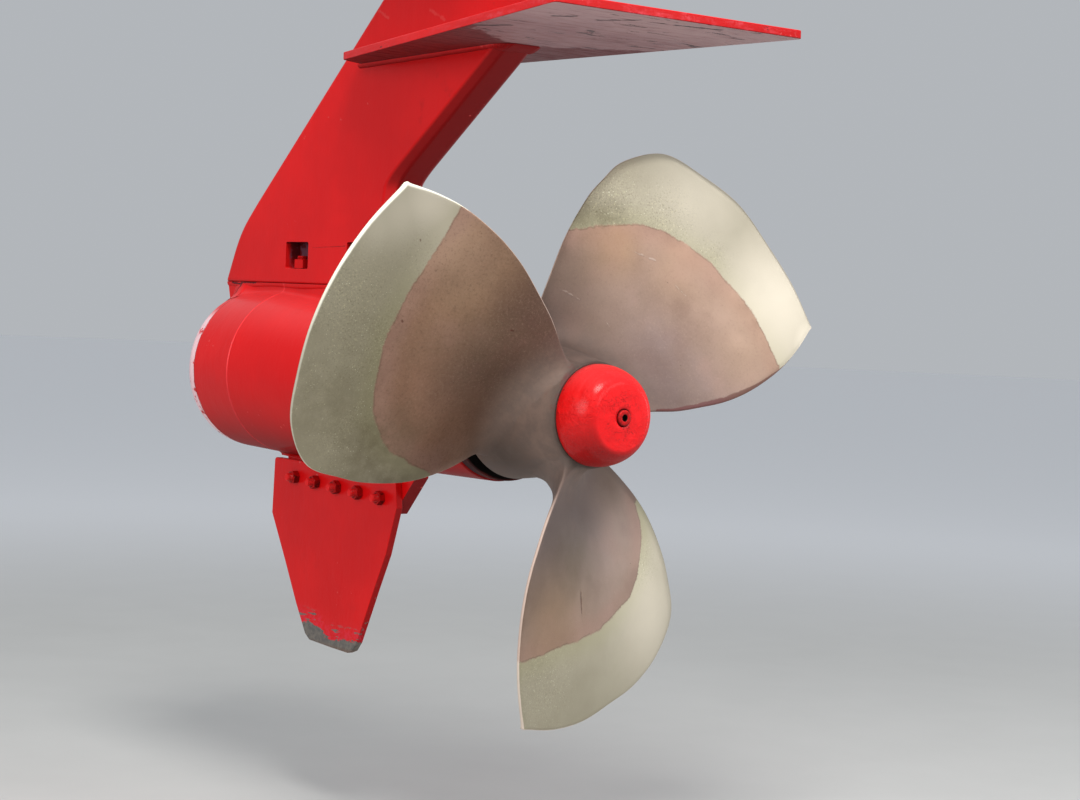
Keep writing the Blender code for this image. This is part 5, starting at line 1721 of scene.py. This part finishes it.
def add_skeg():
    inner = -STUB_HALF_THICKNESS - GAP
    outer = inner - SKEG_THICKNESS
    outline = rounded_outline(under_pod(SKEG_OUTLINE), SKEG_CORNER, 3)
    skeg = new_object("skeg_shell", slab(outline, outer, inner))
    round_edges(skeg, SKEG_ROUNDING, 3, 50.0)
    piece(skeg, "leg", ["skeg_plate"], [SKEG_RED], 35.0, even=True)
    first, last = [Vector(place) for place in under_pod((SKEG_BOLT_FIRST, SKEG_BOLT_LAST))]
    seat = outer - GAP
    start = STUB_HALF_THICKNESS + GAP
    foot = seat - start - SKEG_BOLT_HEAD + ROD_IN_HEAD
    for k in range(SKEG_BOLTS):
        centre = first.lerp(last, k / (SKEG_BOLTS - 1))
        base = Vector((seat, centre.x, centre.y))
        side = Matrix.Rotation(FIRST_NUT_TURN + NUT_TURN_STEP * k, 3, "X") @ FORE
        nut = new_object(f"nut_{k + 1}", solids_mesh(nut_rings(
            base, -STARBOARD, side, SKEG_BOLT_ACROSS, SKEG_NUT_HEIGHT, SKEG_BOLT_RADIUS + GAP)))
        piece(nut, "leg", [f"skeg_nut_{k + 1}"], [NUT_RED], 30.0)
        head = Vector((start, centre.x, centre.y))
        bolt = new_object(f"bolt_{k + 1}", solids_mesh(
            nut_rings(head, STARBOARD, FORE, SKEG_BOLT_ACROSS, SKEG_BOLT_HEAD, SKEG_HEAD_DIMPLE),
            thread_rod(base, -STARBOARD, FORE, SKEG_BOLT_RADIUS, foot, SKEG_NUT_HEIGHT + SKEG_BOLT_PROUD)))
        piece(bolt, "leg", [f"skeg_bolt_{k + 1}"], [BOLT_RED], 30.0)


# Camera, lights and floor

# The camera that was fitted to the photo.
CAMERA_PLACE = (-2.4194, -3.1483, -0.6934)
CAMERA_RIGHT = (0.7840, -0.6193, 0.0418)
CAMERA_VIEW = (0.6207, 0.7829, -0.0436)
CAMERA_LENS = 73.30
LIGHT_TARGET = (0.0, 0.1, -0.7)
# Name, place, size, energy and colour of each light.
LIGHTS = (
    ("key", (-1.0, -1.7, 2.3), 1.4, 110.0, (1.0, 0.98, 0.95)),
    ("left", (-4.0, -1.0, 0.5), 2.4, 70.0, (1.0, 0.99, 0.97)),
    ("front", (0.1, -4.2, 1.1), 2.6, 34.0, (1.0, 1.0, 1.0)),
    ("high", (2.3, -3.9, 1.3), 2.6, 36.0, (1.0, 1.0, 1.0)),
    ("right", (4.2, -1.9, -0.7), 2.0, 30.0, (0.97, 0.98, 1.0)),
)
FLOOR_DROP = 0.30
FLOOR_RADIUS = 40.0


def add_camera():
    right = Vector(CAMERA_RIGHT).normalized()
    view = Vector(CAMERA_VIEW).normalized()
    up = right.cross(view).normalized()
    data = bpy.data.cameras.new("camera")
    data.lens = CAMERA_LENS
    data.sensor_width = 36.0
    data.sensor_fit = "HORIZONTAL"
    camera = new_object("camera", data)
    turn = Matrix((right, up, -view)).transposed().to_4x4()
    camera.matrix_world = Matrix.Translation(CAMERA_PLACE) @ turn
    bpy.context.scene.camera = camera


def add_light(name, place, size, energy, colour):
    data = bpy.data.lights.new(name, "AREA")
    data.shape = "DISK"
    data.size = size
    data.energy = energy
    data.color = colour
    light = new_object(name, data)
    light.location = place
    light.rotation_euler = (Vector(LIGHT_TARGET) - Vector(place)).to_track_quat("-Z", "Y").to_euler()


def add_stage():
    s = Shading("floor_paint", {})
    x, y, _ = s.split()
    colour = s.mix(s.noise(4.0, 5.0, 0.6), (0.78, 0.78, 0.77), (0.81, 0.81, 0.8))
    far = s.math("SQRT", x * x + y * y)
    colour = s.mix(s.ramp(far, 2.6, 7.0), colour, (0.985, 0.99, 1.0))
    bm = bmesh.new()
    low = CAD_BOX[0][2] - FLOOR_DROP
    bm.faces.new([bm.verts.new((a, b, low)) for a, b in ring_points(FLOOR_RADIUS, 96)])
    floor = new_object("floor", mesh_from(bm, shaft_frame=False))
    floor.data.materials.append(s.finish(colour, 0.7))
    world = bpy.data.worlds.new("sky")
    bpy.context.scene.world = world
    world.use_nodes = True
    sky = world.node_tree.nodes["Background"].inputs
    sky["Color"].default_value = (0.86, 0.90, 0.95, 1.0)
    sky["Strength"].default_value = 0.52
    for light in LIGHTS:
        add_light(*light)


BRONZE = bronze_finish("cast_bronze")
LEG_RED = leg_paint("leg_red")
CAP_RED = cap_paint("cap_red")
PLUG_RED = plug_paint("plug_red")
PLATE_RED = plate_paint("plate_red")
FLANGE_RED = red_paint("flange_red", (4.0, 4.0, 8.0), wear=0.02)
WELD_RED = red_paint("weld_red", (5.0, 5.0, 5.0), wear=0.10, gloss=0.35)
POD_RED = red_paint("pod_red", (2.0, 5.0, 2.0), relief=0.6)
NOSE_RED = nose_paint("nose_red")
SKEG_RED = skeg_paint("skeg_red")
POCKET_RED = bolt_paint("pocket_red", (0.72, 0.02, 0.03), RED_DARK, 0.66)
NUT_RED = bolt_paint("nut_red", (0.66, 0.04, 0.045), (0.42, 0.03, 0.03), 0.56)
BOLT_RED = bolt_paint("bolt_red", (0.88, 0.07, 0.08), RED_FADED, 0.6)
STEEL = steel_finish("ground_steel")
PRIMER_COAT = primer_finish("primer_coat")
RUBBER = rubber_finish("seal_rubber")
UNDERSIDE = underside_finish("plate_undercoat")

bpy.context.scene.view_settings.view_transform = "Standard"
add_camera()
add_stage()
add_casting()
add_cap()
add_leg()
add_plate()
add_welds()
add_flange()
add_housing()
add_nose()
add_fillets()
add_bearing()
add_skeg()

bpy.context.view_layer.update()
